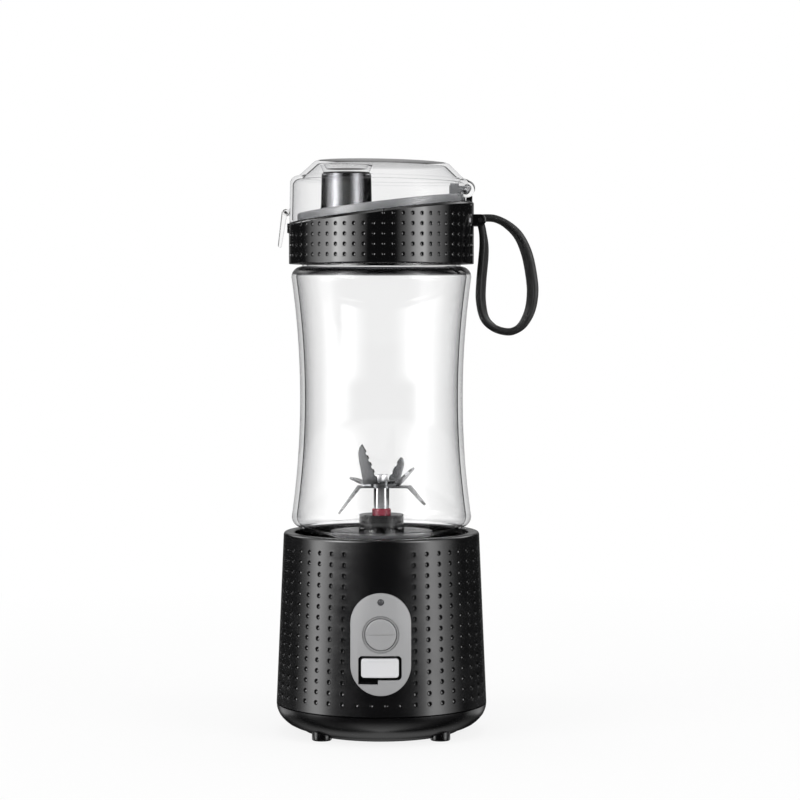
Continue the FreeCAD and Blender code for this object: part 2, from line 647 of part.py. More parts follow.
def make_indicator_lens():
    skin = housing_skin(PANEL_PROUD, LENS_Z - 3 * LENS_R, LENS_Z + 3 * LENS_R)
    return rod_y(LENS_R, 0, LENS_Z, FAR_Y, lens_back_y()).common(skin)


def make_battery_cells():
    return [Part.makeCylinder(CELL_R, CELL_L, Vector(-CELL_L / 2, side * CELL_Y, CELL_Z),
                              Vector(1, 0, 0)) for side in (-1, 1)]


def make_battery_tray():
    half_l = CELL_L / 2 + SEAT + STRIP_T + SEAT
    half_w = CELL_Y + CELL_R + SEAT
    floor = block(-half_l, half_l, -half_w, half_w, TRAY_Z, TRAY_Z + TRAY_T)
    pieces = []
    for side in (-1, 1):
        y0, y1 = sorted((side * half_w, side * (half_w + TRAY_WALL)))
        pieces.append(block(-half_l, half_l, y0, y1, TRAY_Z, TRAY_Z + TRAY_WALL_H))
        x0, x1 = sorted((side * half_l, side * (half_l + TRAY_WALL)))
        pieces.append(block(x0, x1, -half_w / 2, half_w / 2, TRAY_Z, TRAY_Z + TRAY_WALL_H))
    tray = fused(floor, *pieces)
    return tray.common(disc(TRAY_R, 0, RIM_Z))


def strip_x():
    return CELL_L / 2 + SEAT


def make_battery_strips():
    strips = []
    for side in (-1, 1):
        x0, x1 = sorted((side * strip_x(), side * (strip_x() + STRIP_T)))
        strips.append(block(x0, x1, -CELL_Y, CELL_Y, CELL_Z - STRIP_H / 2,
                            CELL_Z + STRIP_H / 2))
    return strips


def bent_lead(points, bend_r):
    """A round wire along straight runs joined by tangent arcs."""
    edges = []
    start = points[0]
    for before, corner, after in zip(points, points[1:], points[2:]):
        back = (before - corner).normalize()
        on = (after - corner).normalize()
        half = math.acos(max(-1.0, min(1.0, back.dot(on)))) / 2
        reach = bend_r / math.tan(half)
        p, q = corner + back * reach, corner + on * reach
        centre = corner + (back + on).normalize() * (bend_r / math.sin(half))
        middle = centre + (corner - centre).normalize() * bend_r
        edges += [Part.LineSegment(start, p).toShape(), Part.Arc(p, middle, q).toShape()]
        start = q
    edges.append(Part.LineSegment(start, points[-1]).toShape())
    section = Part.Wire(Part.makeCircle(LEAD_R, points[0], points[1] - points[0]))
    return Part.Wire(edges).makePipeShell([section], True, False)


def make_battery_leads():
    leads = []
    for side in (-1, 1):
        x = side * (strip_x() + STRIP_T + SEAT / 2 - LEAD_R)
        top = CELL_Z + STRIP_H / 2 + SEAT
        board_x = side * (BOARD_W / 2 - 2 * LEAD_R)
        run_z = CELL_Z + CELL_R + 3 * LEAD_R
        leads.append(bent_lead([Vector(x, -CELL_Y, CELL_Z + CELL_R + SEAT),
                                Vector(x, -CELL_Y, run_z + LEAD_R),
                                Vector(board_x, BACK_OF_BOARD_Y + 8 * LEAD_R, run_z + 2 * LEAD_R),
                                Vector(board_x, BACK_OF_BOARD_Y + SEAT, run_z + 3 * LEAD_R)],
                               LEAD_R * 1.5))
    return leads


def make_motor_leads():
    z = MOTOR_TOP_Z - MOTOR_L - END_CAP_T / 2
    x = MOTOR_R / 3
    end_y = -math.sqrt((MOTOR_R - SEAT) ** 2 - (x - LEAD_R) ** 2) - SEAT
    start_y = BACK_OF_BOARD_Y + SEAT
    return [rod_y(LEAD_R, side * x, z, start_y, end_y) for side in (-1, 1)]


# ---------------------------------------------------------------- motor and drive
def make_motor_can():
    z0 = MOTOR_TOP_Z - MOTOR_L
    shell = disc(MOTOR_R, z0, MOTOR_TOP_Z).cut(
        disc(MOTOR_R - MOTOR_WALL, z0 - PAST, MOTOR_TOP_Z - MOTOR_WALL))
    boss = disc(MOTOR_BOSS_R, MOTOR_TOP_Z - MOTOR_WALL, BRACKET_TOP_Z - SEAT)
    cuts = [disc(MOTOR_SHAFT_R + FIT, z0, BRACKET_TOP_Z + PAST)]
    cuts += [disc(SMALL_SCREW_R + FIT, MOTOR_TOP_Z - 2 * MOTOR_WALL, MOTOR_TOP_Z + PAST,
                  *polar(MOTOR_SCREW_CIRCLE_R, a)) for a in (0.0, 180.0)]
    return fused(shell, boss).cut(Part.makeCompound(cuts))


def make_motor_end_cap():
    z1 = MOTOR_TOP_Z - MOTOR_L
    spigot = disc(MOTOR_R - MOTOR_WALL - FIT, z1, z1 + END_CAP_SPIGOT)
    plate = disc(MOTOR_R - SEAT, z1 - END_CAP_T, z1)
    bore = disc(MOTOR_SHAFT_R + FIT, z1 - END_CAP_T + END_CAP_FLOOR_T, z1 + END_CAP_SPIGOT + PAST)
    return fused(plate, spigot).cut(bore)


def motor_middle_z():
    return MOTOR_TOP_Z - MOTOR_L / 2


def make_motor_magnets():
    z0, z1 = motor_middle_z() - MAGNET_L / 2, motor_middle_z() + MAGNET_L / 2
    outer = MOTOR_R - MOTOR_WALL - FIT
    shell = ring(outer, outer - MAGNET_T, z0, z1)
    wedge = Part.makeCylinder(MOTOR_R, z1 - z0, Vector(0, 0, z0), Vector(0, 0, 1), MAGNET_ARC)
    return [shell.common(turn(wedge, 180 * i - MAGNET_ARC / 2)) for i in (0, 1)]


def make_motor_armature():
    z0 = MOTOR_TOP_Z - MOTOR_L - END_CAP_T + END_CAP_FLOOR_T + SEAT
    core = disc(ARMATURE_R, motor_middle_z() - ARMATURE_L / 2,
                motor_middle_z() + ARMATURE_L / 2)
    return fused(disc(MOTOR_SHAFT_R, z0, SHAFT_JOIN_Z - SEAT), core)


def make_motor_bracket():
    plate = ring(TOWER_BORE_R - SEAT, MOTOR_BOSS_R + SEAT, MOTOR_TOP_Z, BRACKET_TOP_Z)
    holes = [disc(SMALL_SCREW_R + FIT, MOTOR_TOP_Z - PAST, BRACKET_TOP_Z + PAST, *spot)
             for spot in motor_screw_spots() + bracket_screw_spots()]
    return plate.cut(Part.makeCompound(holes))


def motor_screw_spots():
    return [polar(MOTOR_SCREW_CIRCLE_R, a) for a in (0.0, 180.0)]


def bracket_screw_spots():
    return [polar(BRACKET_SCREW_CIRCLE_R, a) for a in (90.0, 210.0, 330.0)]


def make_motor_screws():
    return [fused(disc(SMALL_SCREW_HEAD_R, BRACKET_TOP_Z,
                       BRACKET_TOP_Z + SMALL_SCREW_HEAD_T, *spot),
                  disc(SMALL_SCREW_R, MOTOR_TOP_Z - MOTOR_WALL, BRACKET_TOP_Z, *spot))
            for spot in motor_screw_spots()]


def bracket_screw_top():
    return BRACKET_TOP_Z + 2 * BRACKET_T


def make_bracket_screws():
    return [fused(disc(SMALL_SCREW_HEAD_R, MOTOR_TOP_Z - SMALL_SCREW_HEAD_T, MOTOR_TOP_Z,
                       *spot),
                  disc(SMALL_SCREW_R, MOTOR_TOP_Z, bracket_screw_top(), *spot))
            for spot in bracket_screw_spots()]


def make_tower_plate():
    return ring(TOWER_R - TOWER_PLATE_MARGIN, PEDESTAL_SPIGOT_R + FIT, TOWER_TOP_Z, RIM_Z)


def make_pedestal():
    spigot_z = TOWER_TOP_Z - TOWER_TOP_T
    foot_r = PEDESTAL_R + PEDESTAL_FOOT_W
    lip_z = PEDESTAL_TOP_Z - PEDESTAL_LIP_T
    return turned((BEARING_R + FIT, spigot_z), (PEDESTAL_SPIGOT_R, spigot_z),
                  (PEDESTAL_SPIGOT_R, RIM_Z), (foot_r, RIM_Z),
                  (foot_r, RIM_Z + PEDESTAL_FOOT_H),
                  (PEDESTAL_R, RIM_Z + PEDESTAL_FOOT_H), (PEDESTAL_R, PEDESTAL_TOP_Z),
                  (SEAL_R, PEDESTAL_TOP_Z), (SEAL_R, lip_z), (BEARING_R + FIT, lip_z))


def make_shaft_bearing():
    z1 = PEDESTAL_TOP_Z - PEDESTAL_LIP_T
    return ring(BEARING_R, SHAFT_R + FIT, z1 - BEARING_T, z1)


def make_shaft_seal():
    z0 = PEDESTAL_TOP_Z - PEDESTAL_LIP_T
    z1 = PEDESTAL_TOP_Z + SEAL_H
    return turned((SHAFT_R + FIT, z0), (SEAL_R - FIT, z0), (SEAL_R - FIT, PEDESTAL_TOP_Z),
                  (SEAL_TOP_R, z1), (SHAFT_R + FIT, z1))


def make_shaft_coupling():
    body = disc(COUPLING_R, COUPLING_Z0, COUPLING_Z1)
    return body.cut(disc(MOTOR_SHAFT_R + FIT, COUPLING_Z0, SHAFT_JOIN_Z)).cut(
        disc(SHAFT_R + FIT, SHAFT_JOIN_Z, COUPLING_Z1))


def hexagon(r, z0, z1):
    corners = []
    for i in range(6):
        corners.append(Vector(*polar(r, 60 * i), z0))
    face = Part.Face(Part.makePolygon(corners + corners[:1]))
    return face.extrude(Vector(0, 0, z1 - z0))


def make_drive_shaft():
    seal_top = PEDESTAL_TOP_Z + SEAL_H + SEAT
    return fused(disc(SHAFT_R, SHAFT_JOIN_Z, seal_top),
                 hexagon(HEX_R, seal_top, BLADE_SEAT_Z),
                 disc(STUD_R, BLADE_SEAT_Z, NUT_Z + NUT_H - SEAT))


def strip_section(arm_angle, radius, z, lean, width):
    """Rectangle across a blade arm, thin along the normal of a strip that leans by an angle."""
    slope = math.radians(lean)
    out = Vector(-math.sin(slope), 0, math.cos(slope)) * (BLADE_T / 2)
    side = Vector(0, width / 2, 0)
    middle = Vector(radius, 0, z + BLADE_T / 2)
    corners = [middle - side - out, middle + side - out, middle + side + out,
               middle - side + out]
    wire = Part.makePolygon(corners + corners[:1])
    wire.rotate(Vector(0, 0, 0), Vector(0, 0, 1), arm_angle)
    return wire


def blade_arm(hub_z, angle, bend_r, tip_r, tip_rise, width, serrated):
    length = math.hypot(tip_r - bend_r, tip_rise)
    lean = math.degrees(math.atan2(tip_rise, tip_r - bend_r))
    inner = Part.makeLoft([strip_section(angle, 0.0, hub_z, 0.0, width),
                           strip_section(angle, bend_r, hub_z, lean / 2, width)], True, True)
    outer = Part.makeLoft([strip_section(angle, bend_r, hub_z, lean / 2, width),
                           strip_section(angle, tip_r, hub_z + tip_rise, lean, width)],
                          True, True)
    foot = [(-width / length, 1.0), (-width / length, -1.0)]
    leaf = [Vector(x * length, y * width / 2, -width)
            for x, y in (*foot, *ARM_BACK, ARM_TIP, *ARM_EDGE, foot[0])]
    cutter = Part.Face(Part.makePolygon(leaf)).extrude(Vector(0, 0, 2 * width))
    if serrated:
        (x1, y1), (x0, y0) = ARM_EDGE
        count = int((x1 - x0) * length / SERRATION_PITCH)
        notches = []
        for i in range(count):
            share = (i + 0.5) / count
            place = Vector((x0 + (x1 - x0) * share) * length,
                           (y0 + (y1 - y0) * share) * width / 2, -width)
            notches.append(Part.makeCylinder(SERRATION_R, 2 * width, place))
        cutter = cutter.cut(Part.makeCompound(notches))
    cutter.rotate(Vector(0, 0, 0), Vector(0, 1, 0), -lean)
    cutter.translate(Vector(bend_r, 0, hub_z + BLADE_T / 2))
    return fused(inner, outer.common(turn(cutter, angle)))


def make_blade(arms, hub_z):
    hub = disc(HUB_R, hub_z, hub_z + BLADE_T)
    blade = fused(hub, *[blade_arm(hub_z, *arm) for arm in arms])
    return blade.cut(disc(STUD_R + FIT, 0, NUT_Z + NUT_H))


def make_blade_nut():
    return hexagon(NUT_R, NUT_Z, NUT_Z + NUT_H).cut(disc(STUD_R + FIT, NUT_Z, NUT_Z + NUT_H))


# ---------------------------------------------------------------- jar
def jar_side(inset):
    """Edges of the jar's side from the lower neck to the upper neck, moved in by an inset."""
    end_r, waist_r, neck_r = JAR_END_R - inset, JAR_WAIST_R - inset, JAR_NECK_R - inset
    step = JAR_ROUND * (1 - math.sqrt(0.5))
    waist_z = (JAR_SIDE_Z0 + JAR_SIDE_Z1) / 2
    return [arc((neck_r, JAR_LOW_Z), (end_r - step, JAR_LOW_Z + step), (end_r, JAR_SIDE_Z0)),
            arc((end_r, JAR_SIDE_Z0), (waist_r, waist_z), (end_r, JAR_SIDE_Z1)),
            arc((end_r, JAR_SIDE_Z1), (end_r - step, JAR_HIGH_Z - step), (neck_r, JAR_HIGH_Z))]


def make_jar():
    neck_in = JAR_NECK_R - JAR_WALL
    edges = jar_side(0) + jar_side(JAR_WALL)
    edges += path((JAR_NECK_R, JAR_HIGH_Z), (JAR_NECK_R, JAR_NECK_TOP_Z),
                  (neck_in, JAR_NECK_TOP_Z), (neck_in, JAR_HIGH_Z))
    edges += path((JAR_NECK_R, JAR_LOW_Z), (JAR_NECK_R, JAR_FOOT_Z), (neck_in, JAR_FOOT_Z),
                  (neck_in, JAR_LOW_Z))
    root = JAR_NECK_R - JAR_WALL / 4
    ridges = thread(root, JAR_NECK_R + JAR_THREAD_H, JAR_THREAD_Z, JAR_LEAD, JAR_STARTS,
                    JAR_THREAD_SPAN, THREAD_ROOT_W, THREAD_TIP_W)
    ridges += thread(root, JAR_NECK_R + JAR_TOP_THREAD_H, CAP_THREAD_Z, CAP_LEAD, CAP_STARTS,
                     CAP_THREAD_SPAN, CAP_ROOT_W, CAP_TIP_W)
    return fused(revolved(edges), *ridges)


def make_jar_gasket():
    return ring(JAR_NECK_R - JAR_GASKET_MARGIN, JAR_NECK_R - JAR_WALL + JAR_GASKET_MARGIN,
                WELL_FLOOR_Z, JAR_FOOT_Z)


# ---------------------------------------------------------------- cap
def ring_wedge():
    """Upstand of the ring that cradles the hinge barrel between the cheeks."""
    top = HINGE_Z - CRADLE_DROP
    upstand = disc(CAP_R, WEB_Z1, top).cut(disc(DECK_R + SLIP, WEB_Z1, HINGE_Z))
    half = HINGE_HALF_W - SLIP
    return upstand.common(block(HINGE_X - HINGE_R, CAP_R + PAST, -half, half, WEB_Z1, HINGE_Z))


def strap_ears():
    ears = []
    for side in (-1, 1):
        y0, y1 = sorted((side * (STRAP_W / 2 + SLIP), side * (STRAP_W / 2 + SLIP + STRAP_EAR_T)))
        nose = rod_y(STRAP_EYE_R, STRAP_PIN_X, STRAP_PIN_Z, y0, y1)
        root = block(CAP_BORE_R + CAP_WALL / 2, STRAP_PIN_X, y0, y1,
                     STRAP_PIN_Z - STRAP_EYE_R, STRAP_PIN_Z + STRAP_EYE_R)
        ears += [nose, root]
    return ears


def make_cap_ring():
    shell = under_slant(CAP_R, CAP_Z0, 0).cut(disc(CAP_BORE_R, CAP_Z0 - PAST, WEB_Z0))
    shell = shell.cut(disc(CAP_BORE_R, WEB_Z1, HINGE_Z))
    ridges = thread(CAP_R - CAP_WALL / 2, CAP_BORE_R - CAP_THREAD_H,
                    CAP_THREAD_Z - CAP_LEAD / CAP_STARTS / 2, CAP_LEAD, CAP_STARTS,
                    CAP_THREAD_SPAN, CAP_ROOT_W, CAP_TIP_W)
    catch = block(-CAP_R - CATCH_OUT, -CAP_R + CAP_WALL / 2, -CATCH_HALF_W, CATCH_HALF_W,
                  CATCH_Z0, CATCH_Z1)
    cuts = [disc(SPOUT_BORE_R, WEB_Z0 - PAST, WEB_Z1 + PAST, SPOUT_X),
            rod_y(HINGE_R + SLIP, HINGE_X, HINGE_Z, -CAP_R, CAP_R),
            rod_y(STRAP_PIN_R + FIT, STRAP_PIN_X, STRAP_PIN_Z, -CAP_R, CAP_R)]
    return fused(shell, ring_wedge(), catch, *ridges, *strap_ears()).cut(
        Part.makeCompound(cuts))


def hinge_cheeks():
    """Two cheeks on the deck that hold the ends of the hinge pin."""
    cheeks = []
    for side in (-1, 1):
        y0, y1 = sorted((side * (HINGE_HALF_W + SLIP), side * (HINGE_HALF_W + SLIP + CHEEK_T)))
        low = cap_edge_z(CHEEK_FOOT_X)
        corners = [Vector(CHEEK_FOOT_X, y0, low), Vector(CHEEK_FOOT_X, y0, HINGE_Z + HINGE_R),
                   Vector(HINGE_X, y0, HINGE_Z + HINGE_R),
                   Vector(HINGE_X + HINGE_R / 2, y0, HINGE_Z),
                   Vector(DECK_R - DECK_WALL, y0, low)]
        side_plate = Part.Face(Part.makePolygon(corners + corners[:1]))
        cheeks.append(side_plate.extrude(Vector(0, y1 - y0, 0)))
    return cheeks


def make_cap_deck():
    cup = under_slant(DECK_R, WEB_Z1, DECK_RISE + DECK_RIM_H)
    hollow = under_slant(DECK_R - DECK_WALL, WEB_Z1, DECK_RISE - DECK_T)
    dish = disc(DECK_R - DECK_WALL, WEB_Z1, HINGE_Z + OVERRUN).cut(cap_space(DECK_RISE))
    clear_r = HINGE_R + SLIP
    barrel_room = rod_y(clear_r, HINGE_X, HINGE_Z, -HINGE_HALF_W - SLIP, HINGE_HALF_W + SLIP)
    deck = fused(cup.cut(hollow).cut(dish), *hinge_cheeks())
    return deck.cut(Part.makeCompound([
        barrel_room,
        disc(SPOUT_FOOT_R + SEAT, WEB_Z1, HINGE_Z, SPOUT_X),
        rod_y(PIN_R + FIT, HINGE_X, HINGE_Z, -CAP_R, CAP_R),
    ]))


def make_spout():
    spout = turned((SPOUT_BORE_R, WEB_Z1), (SPOUT_FOOT_R, WEB_Z1), (SPOUT_R, SPOUT_TOP_Z),
                   (SPOUT_BORE_R, SPOUT_TOP_Z))
    spout.translate(Vector(SPOUT_X, 0, 0))
    return spout


def make_cap_gasket():
    return ring(JAR_NECK_R - JAR_GASKET_MARGIN, JAR_NECK_R - JAR_WALL + JAR_GASKET_MARGIN,
                JAR_NECK_TOP_Z, WEB_Z0)


def make_hinge_pin():
    half = HINGE_HALF_W + SLIP + CHEEK_T
    return rod_y(PIN_R, HINGE_X, HINGE_Z, -half, half)


def make_strap_pin():
    half = STRAP_W / 2 + SLIP + STRAP_EAR_T
    return rod_y(STRAP_PIN_R, STRAP_PIN_X, STRAP_PIN_Z, -half, half)


# ---------------------------------------------------------------- flip cover
def cover_dome(inset, z0):
    """The cover's outer form, or its inner one when moved in by the wall."""
    r, shoulder = COVER_R - inset, COVER_SHOULDER_Z - inset
    cone_r, top_r, top = COVER_CONE_R - inset, COVER_TOP_R - inset, COVER_TOP_Z - inset
    step = COVER_ROUND * (1 - math.sqrt(0.5))
    edges = [line((0, z0), (r, z0)), line((r, z0), (r, shoulder - COVER_ROUND)),
             arc((r, shoulder - COVER_ROUND), (r - step, shoulder - step),
                 (r - COVER_ROUND, shoulder)),
             line((r - COVER_ROUND, shoulder), (cone_r, shoulder)),
             line((cone_r, shoulder), (top_r, top)), line((top_r, top), (0, top)),
             line((0, top), (0, z0))]
    edges = [e for e in edges if e.Length > 0.01]
    dome = revolved(edges)
    dome.rotate(Vector(0, 0, HINGE_Z), Vector(0, 1, 0), COVER_TILT)
    return dome


def make_flip_cover():
    z0 = cap_edge_z(-CAP_R) - OVERRUN
    outer = cover_dome(0, z0)
    inner = cover_dome(COVER_WALL, z0 - PAST)
    shell = outer.cut(inner)
    plug_z = SPOUT_TOP_Z + PLUG_SEAL_T
    plug_h = COVER_TOP_Z - plug_z
    plug = Part.makeCone(PLUG_R, PLUG_TOP_R, plug_h, Vector(SPOUT_X, 0, plug_z))
    hollow = Part.makeCone(PLUG_R - PLUG_WALL, PLUG_TOP_R - PLUG_WALL, plug_h,
                           Vector(SPOUT_X, 0, plug_z + PLUG_WALL))
    plug = plug.cut(hollow).common(outer)
    notch_half = HINGE_HALF_W + CHEEK_T + 2 * SLIP
    notch_top = HINGE_Z + HINGE_R + SLIP
    notch = block(CHEEK_FOOT_X - SLIP, CAP_R + OVERRUN, -notch_half, notch_half, z0 - OVERRUN, notch_top)
    skirt_x = CHEEK_FOOT_X + COVER_WALL
    skirt = block(skirt_x, CAP_R + OVERRUN, -CAP_R, CAP_R, z0 - OVERRUN, HINGE_Z - SKIRT_DROP)
    bridge = block(HINGE_X - HINGE_R, HINGE_X + HINGE_R / 2, -HINGE_HALF_W, HINGE_HALF_W,
                   HINGE_Z, COVER_SHOULDER_Z + OVERRUN).common(outer)
    barrel = rod_y(HINGE_R, HINGE_X, HINGE_Z, -HINGE_HALF_W, HINGE_HALF_W)
    ears = []
    for side in (-1, 1):
        y0, y1 = sorted((side * (LATCH_HALF_W + SLIP),
                         side * (LATCH_HALF_W + SLIP + LATCH_EAR_T)))
        ears.append(rod_y(LATCH_BARREL_R, LATCH_X, LATCH_Z, y0, y1))
        ears.append(block(LATCH_X, -COVER_R + 2 * COVER_WALL, y0, y1,
                          LATCH_Z - LATCH_BARREL_R, LATCH_Z + LATCH_BARREL_R).cut(inner))
    cover = fused(shell.cut(notch).cut(skirt), plug, bridge, barrel, *ears)
    barrel_room = block(HINGE_X - HINGE_R - SLIP, 2 * CAP_R, -HINGE_HALF_W - SLIP,
                        HINGE_HALF_W + SLIP, 0, HINGE_Z)
    under_skirt = cap_space(SLIP).common(disc(2 * CAP_R, 0, HINGE_Z)).cut(barrel_room)
    return cover.cut(Part.makeCompound([
        under_skirt,
        rod_y(PIN_R + FIT, HINGE_X, HINGE_Z, -CAP_R, CAP_R),
        rod_y(LATCH_PIN_R + FIT, LATCH_X, LATCH_Z, -CAP_R, CAP_R),
    ]))


def make_plug_seal():
    return ring(PLUG_R, SPOUT_BORE_R - SEAL_LAP, SPOUT_TOP_Z, SPOUT_TOP_Z + PLUG_SEAL_T, SPOUT_X)


def make_latch():
    barrel = rod_y(LATCH_BARREL_R, LATCH_X, LATCH_Z, -LATCH_HALF_W, LATCH_HALF_W)
    run = Vector(LATCH_TIP_X - LATCH_X, 0, LATCH_TIP_Z - LATCH_Z)
    across = Vector(-run.z, 0, run.x).normalize() * (LATCH_T / 2)
    if across.x > 0:
        across = across * -1
    start = Vector(LATCH_X, -LATCH_HALF_W, LATCH_Z) + across * 0.6
    end = Vector(LATCH_TIP_X, -LATCH_HALF_W, LATCH_TIP_Z)
    corners = [start + across, start - across, end - across * 0.6, end + across * 0.6]
    tab = Part.Face(Part.makePolygon(corners + corners[:1])).extrude(
        Vector(0, 2 * LATCH_HALF_W, 0))
    return fused(barrel, tab).cut(
        rod_y(LATCH_PIN_R + FIT, LATCH_X, LATCH_Z, -CAP_R, CAP_R))


def make_latch_pin():
    half = LATCH_HALF_W + SLIP + LATCH_EAR_T
    return rod_y(LATCH_PIN_R, LATCH_X, LATCH_Z, -half, half)


# ---------------------------------------------------------------- strap
def band_section(point, tangent, twist):
    """Rectangle across the strap, thin in the plane of the loop, twisted about its run."""
    across = Vector(-tangent.z, 0, tangent.x)
    angle = math.radians(twist)
    thin = across * math.cos(angle) + Vector(0, 1, 0) * math.sin(angle)
    wide = Vector(0, 1, 0) * math.cos(angle) - across * math.sin(angle)
    thin, wide = thin * (STRAP_T / 2), wide * (STRAP_W / 2)
    corners = [point - thin - wide, point + thin - wide, point + thin + wide,
               point - thin + wide]
    return Part.makePolygon(corners + corners[:1])


def make_strap():
    points = [Vector(STRAP_PIN_X + x, 0, STRAP_PIN_Z - drop) for x, drop, _ in STRAP_LINE]
    twists = [twist for _, _, twist in STRAP_LINE]
    sections = []
    for i, point in enumerate(points):
        before, after = points[max(i - 1, 0)], points[min(i + 1, len(points) - 1)]
        sections.append(band_section(point, (after - before).normalize(), twists[i]))
    band = Part.makeLoft(sections, True, False)
    eye = rod_y(STRAP_EYE_R, STRAP_PIN_X, STRAP_PIN_Z, -STRAP_W / 2, STRAP_W / 2)
    return fused(band, eye).cut(
        rod_y(STRAP_PIN_R + FIT, STRAP_PIN_X, STRAP_PIN_Z, -STRAP_W, STRAP_W))


# ---------------------------------------------------------------- the assembly
def main():
    os.makedirs("parts", exist_ok=True)
    export("base_housing", make_base_housing())
    export("bottom_shell", make_bottom_shell())
    export("rubber_feet", *make_feet())
    export("bottom_screws", *make_screws())
    export("control_panel", make_control_panel())
    export("power_button", make_power_button())
    export("port_cover", make_port_cover())
    export("circuit_board", make_circuit_board())
    export("button_switch", make_button_switch())
    export("charge_socket", make_charge_socket())
    export("indicator_led", make_indicator_led())
    export("indicator_lens", make_indicator_lens())
    export("battery_cells", *make_battery_cells())
    export("battery_tray", make_battery_tray())
    export("battery_strips", *make_battery_strips())
    export("battery_leads", *make_battery_leads())
    export("motor_leads", *make_motor_leads())
    export("motor_can", make_motor_can())
    export("motor_end_cap", make_motor_end_cap())
    export("motor_magnets", *make_motor_magnets())
    export("motor_armature", make_motor_armature())
    export("motor_bracket", make_motor_bracket())
    export("motor_screws", *make_motor_screws())
    export("bracket_screws", *make_bracket_screws())
    export("tower_plate", make_tower_plate())
    export("pedestal", make_pedestal())
    export("shaft_bearing", make_shaft_bearing())
    export("shaft_seal", make_shaft_seal())
    export("shaft_coupling", make_shaft_coupling())
    export("drive_shaft", make_drive_shaft())
    export("lower_blade", make_blade(LOWER_ARMS, HUB_Z[0]))
    export("middle_blade", make_blade(MIDDLE_ARMS, HUB_Z[1]))
    export("upper_blade", make_blade(UPPER_ARMS, HUB_Z[2]))
    export("blade_nut", make_blade_nut())
    export("jar", make_jar())
    export("jar_gasket", make_jar_gasket())
    export("cap_ring", make_cap_ring())
    export("cap_deck", make_cap_deck())
    export("spout", make_spout())
    export("cap_gasket", make_cap_gasket())
    export("hinge_pin", make_hinge_pin())
    export("strap_pin", make_strap_pin())
    export("flip_cover", make_flip_cover())
    export("plug_seal", make_plug_seal())
    export("latch", make_latch())
    export("latch_pin", make_latch_pin())
    export("strap", make_strap())


main()
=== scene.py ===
"""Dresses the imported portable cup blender: moulded shells, clear jar and cover, steel and strap."""

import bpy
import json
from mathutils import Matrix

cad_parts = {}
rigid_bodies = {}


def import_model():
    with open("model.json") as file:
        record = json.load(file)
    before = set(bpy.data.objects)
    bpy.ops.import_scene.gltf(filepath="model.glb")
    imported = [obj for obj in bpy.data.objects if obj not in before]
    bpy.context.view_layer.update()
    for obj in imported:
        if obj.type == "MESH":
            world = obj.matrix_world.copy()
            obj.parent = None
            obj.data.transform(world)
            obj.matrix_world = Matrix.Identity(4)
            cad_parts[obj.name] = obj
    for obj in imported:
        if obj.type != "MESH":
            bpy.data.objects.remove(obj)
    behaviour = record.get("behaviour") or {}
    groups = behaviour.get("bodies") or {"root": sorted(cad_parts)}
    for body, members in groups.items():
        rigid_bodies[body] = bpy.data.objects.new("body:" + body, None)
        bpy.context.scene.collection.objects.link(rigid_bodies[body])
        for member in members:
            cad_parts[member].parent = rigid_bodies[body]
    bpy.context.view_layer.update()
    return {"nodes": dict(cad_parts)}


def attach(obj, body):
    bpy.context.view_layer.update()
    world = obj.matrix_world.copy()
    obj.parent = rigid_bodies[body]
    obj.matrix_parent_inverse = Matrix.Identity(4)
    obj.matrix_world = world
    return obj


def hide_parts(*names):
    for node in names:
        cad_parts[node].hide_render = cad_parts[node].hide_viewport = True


bl_info = {
    "name": "Portable Cup Blender",
    "version": (1, 0, 0),
    "blender": (4, 5, 0),
    "location": "View3D > Sidebar > Cup Blender",
    "description": "Builds the dressed pieces of a portable cup blender round its packed frame",
    "category": "Object",
}

import json
import math

import bmesh
import bpy
from bpy.props import FloatProperty, FloatVectorProperty, PointerProperty
from mathutils import Matrix, Vector

for leftover in list(bpy.data.objects):
    bpy.data.objects.remove(leftover)
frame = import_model()
MM = 0.001

# ------------------------------------------------------------ sizes, in millimetres
SLIP = 0.3                      # play between shells that move past each other
FAR = 60.0                      # how far a cut runs past the face that it opens
STRIP_W = 0.75                  # width of the strips that let a flat front piece be curved
# Base housing
SEAM_R, SEAM_Z, HOUSING_FOOT_Z, HOUSING_WALL = 42.0, 11.6, 11.8, 2.6
RIM_R, RIM_Z, RIM_ROUND = 39.0, 80.0, 1.0
WELL_R, WELL_FLOOR_Z, WELL_UNDER_Z = 34.8, 64.5, 62.0
TOWER_R, TOWER_TOP_Z, TOWER_BORE_R = 20.8, 78.8, 18.6
TOWER_HOLE_R, TOWER_UNDER_Z, SHELF_R, SHELF_Z = 7.25, 76.4, 12.0, 70.1
BASE_COLUMNS, BASE_FIRST, BASE_ROWS = 45, 264.9, [16.5 + 4.13 * i for i in range(15)]
BARE_FRONT = 14.0               # degrees either side of the front without full columns
# Feet and bottom bowl
FOOT_R, FOOT_RING_R, FOOT_H = 3.9, 32.8, 2.0
SCREW_RING_R, SCREW_HEAD_R, SCREW_R, BOSS_R, TRAY_X, TRAY_Z = 32.0, 2.15, 1.23, 2.8, 16.25, 6.0
# Front panel
PANEL_W, PANEL_H, PANEL_Z, PANEL_SUNK, PANEL_PROUD = 23.4, 39.4, 40.0, 0.9, 0.3
BUTTON_R, BUTTON_HOLE_R, BUTTON_RING_R, BUTTON_Z, BUTTON_PROUD = 6.0, 6.25, 7.0, 43.8, 0.5
FLANGE_R, FLANGE_Y0, FLANGE_Y1, STEM_R, STEM_Y = 7.2, -3.99, -4.79, 1.6, -5.09
LENS_HOLE_R, LENS_Z = 1.3, 56.2
PORT_X, PORT_Z, PORT_W, PORT_H, PORT_CORNER_R = -0.3, 30.9, 16.4, 9.2, 1.5
PORT_FLOOR_Y, NOTCH_W, NOTCH_DROP, SOCKET_W, SOCKET_H = -38.79, 7.6, 1.7, 9.5, 3.8
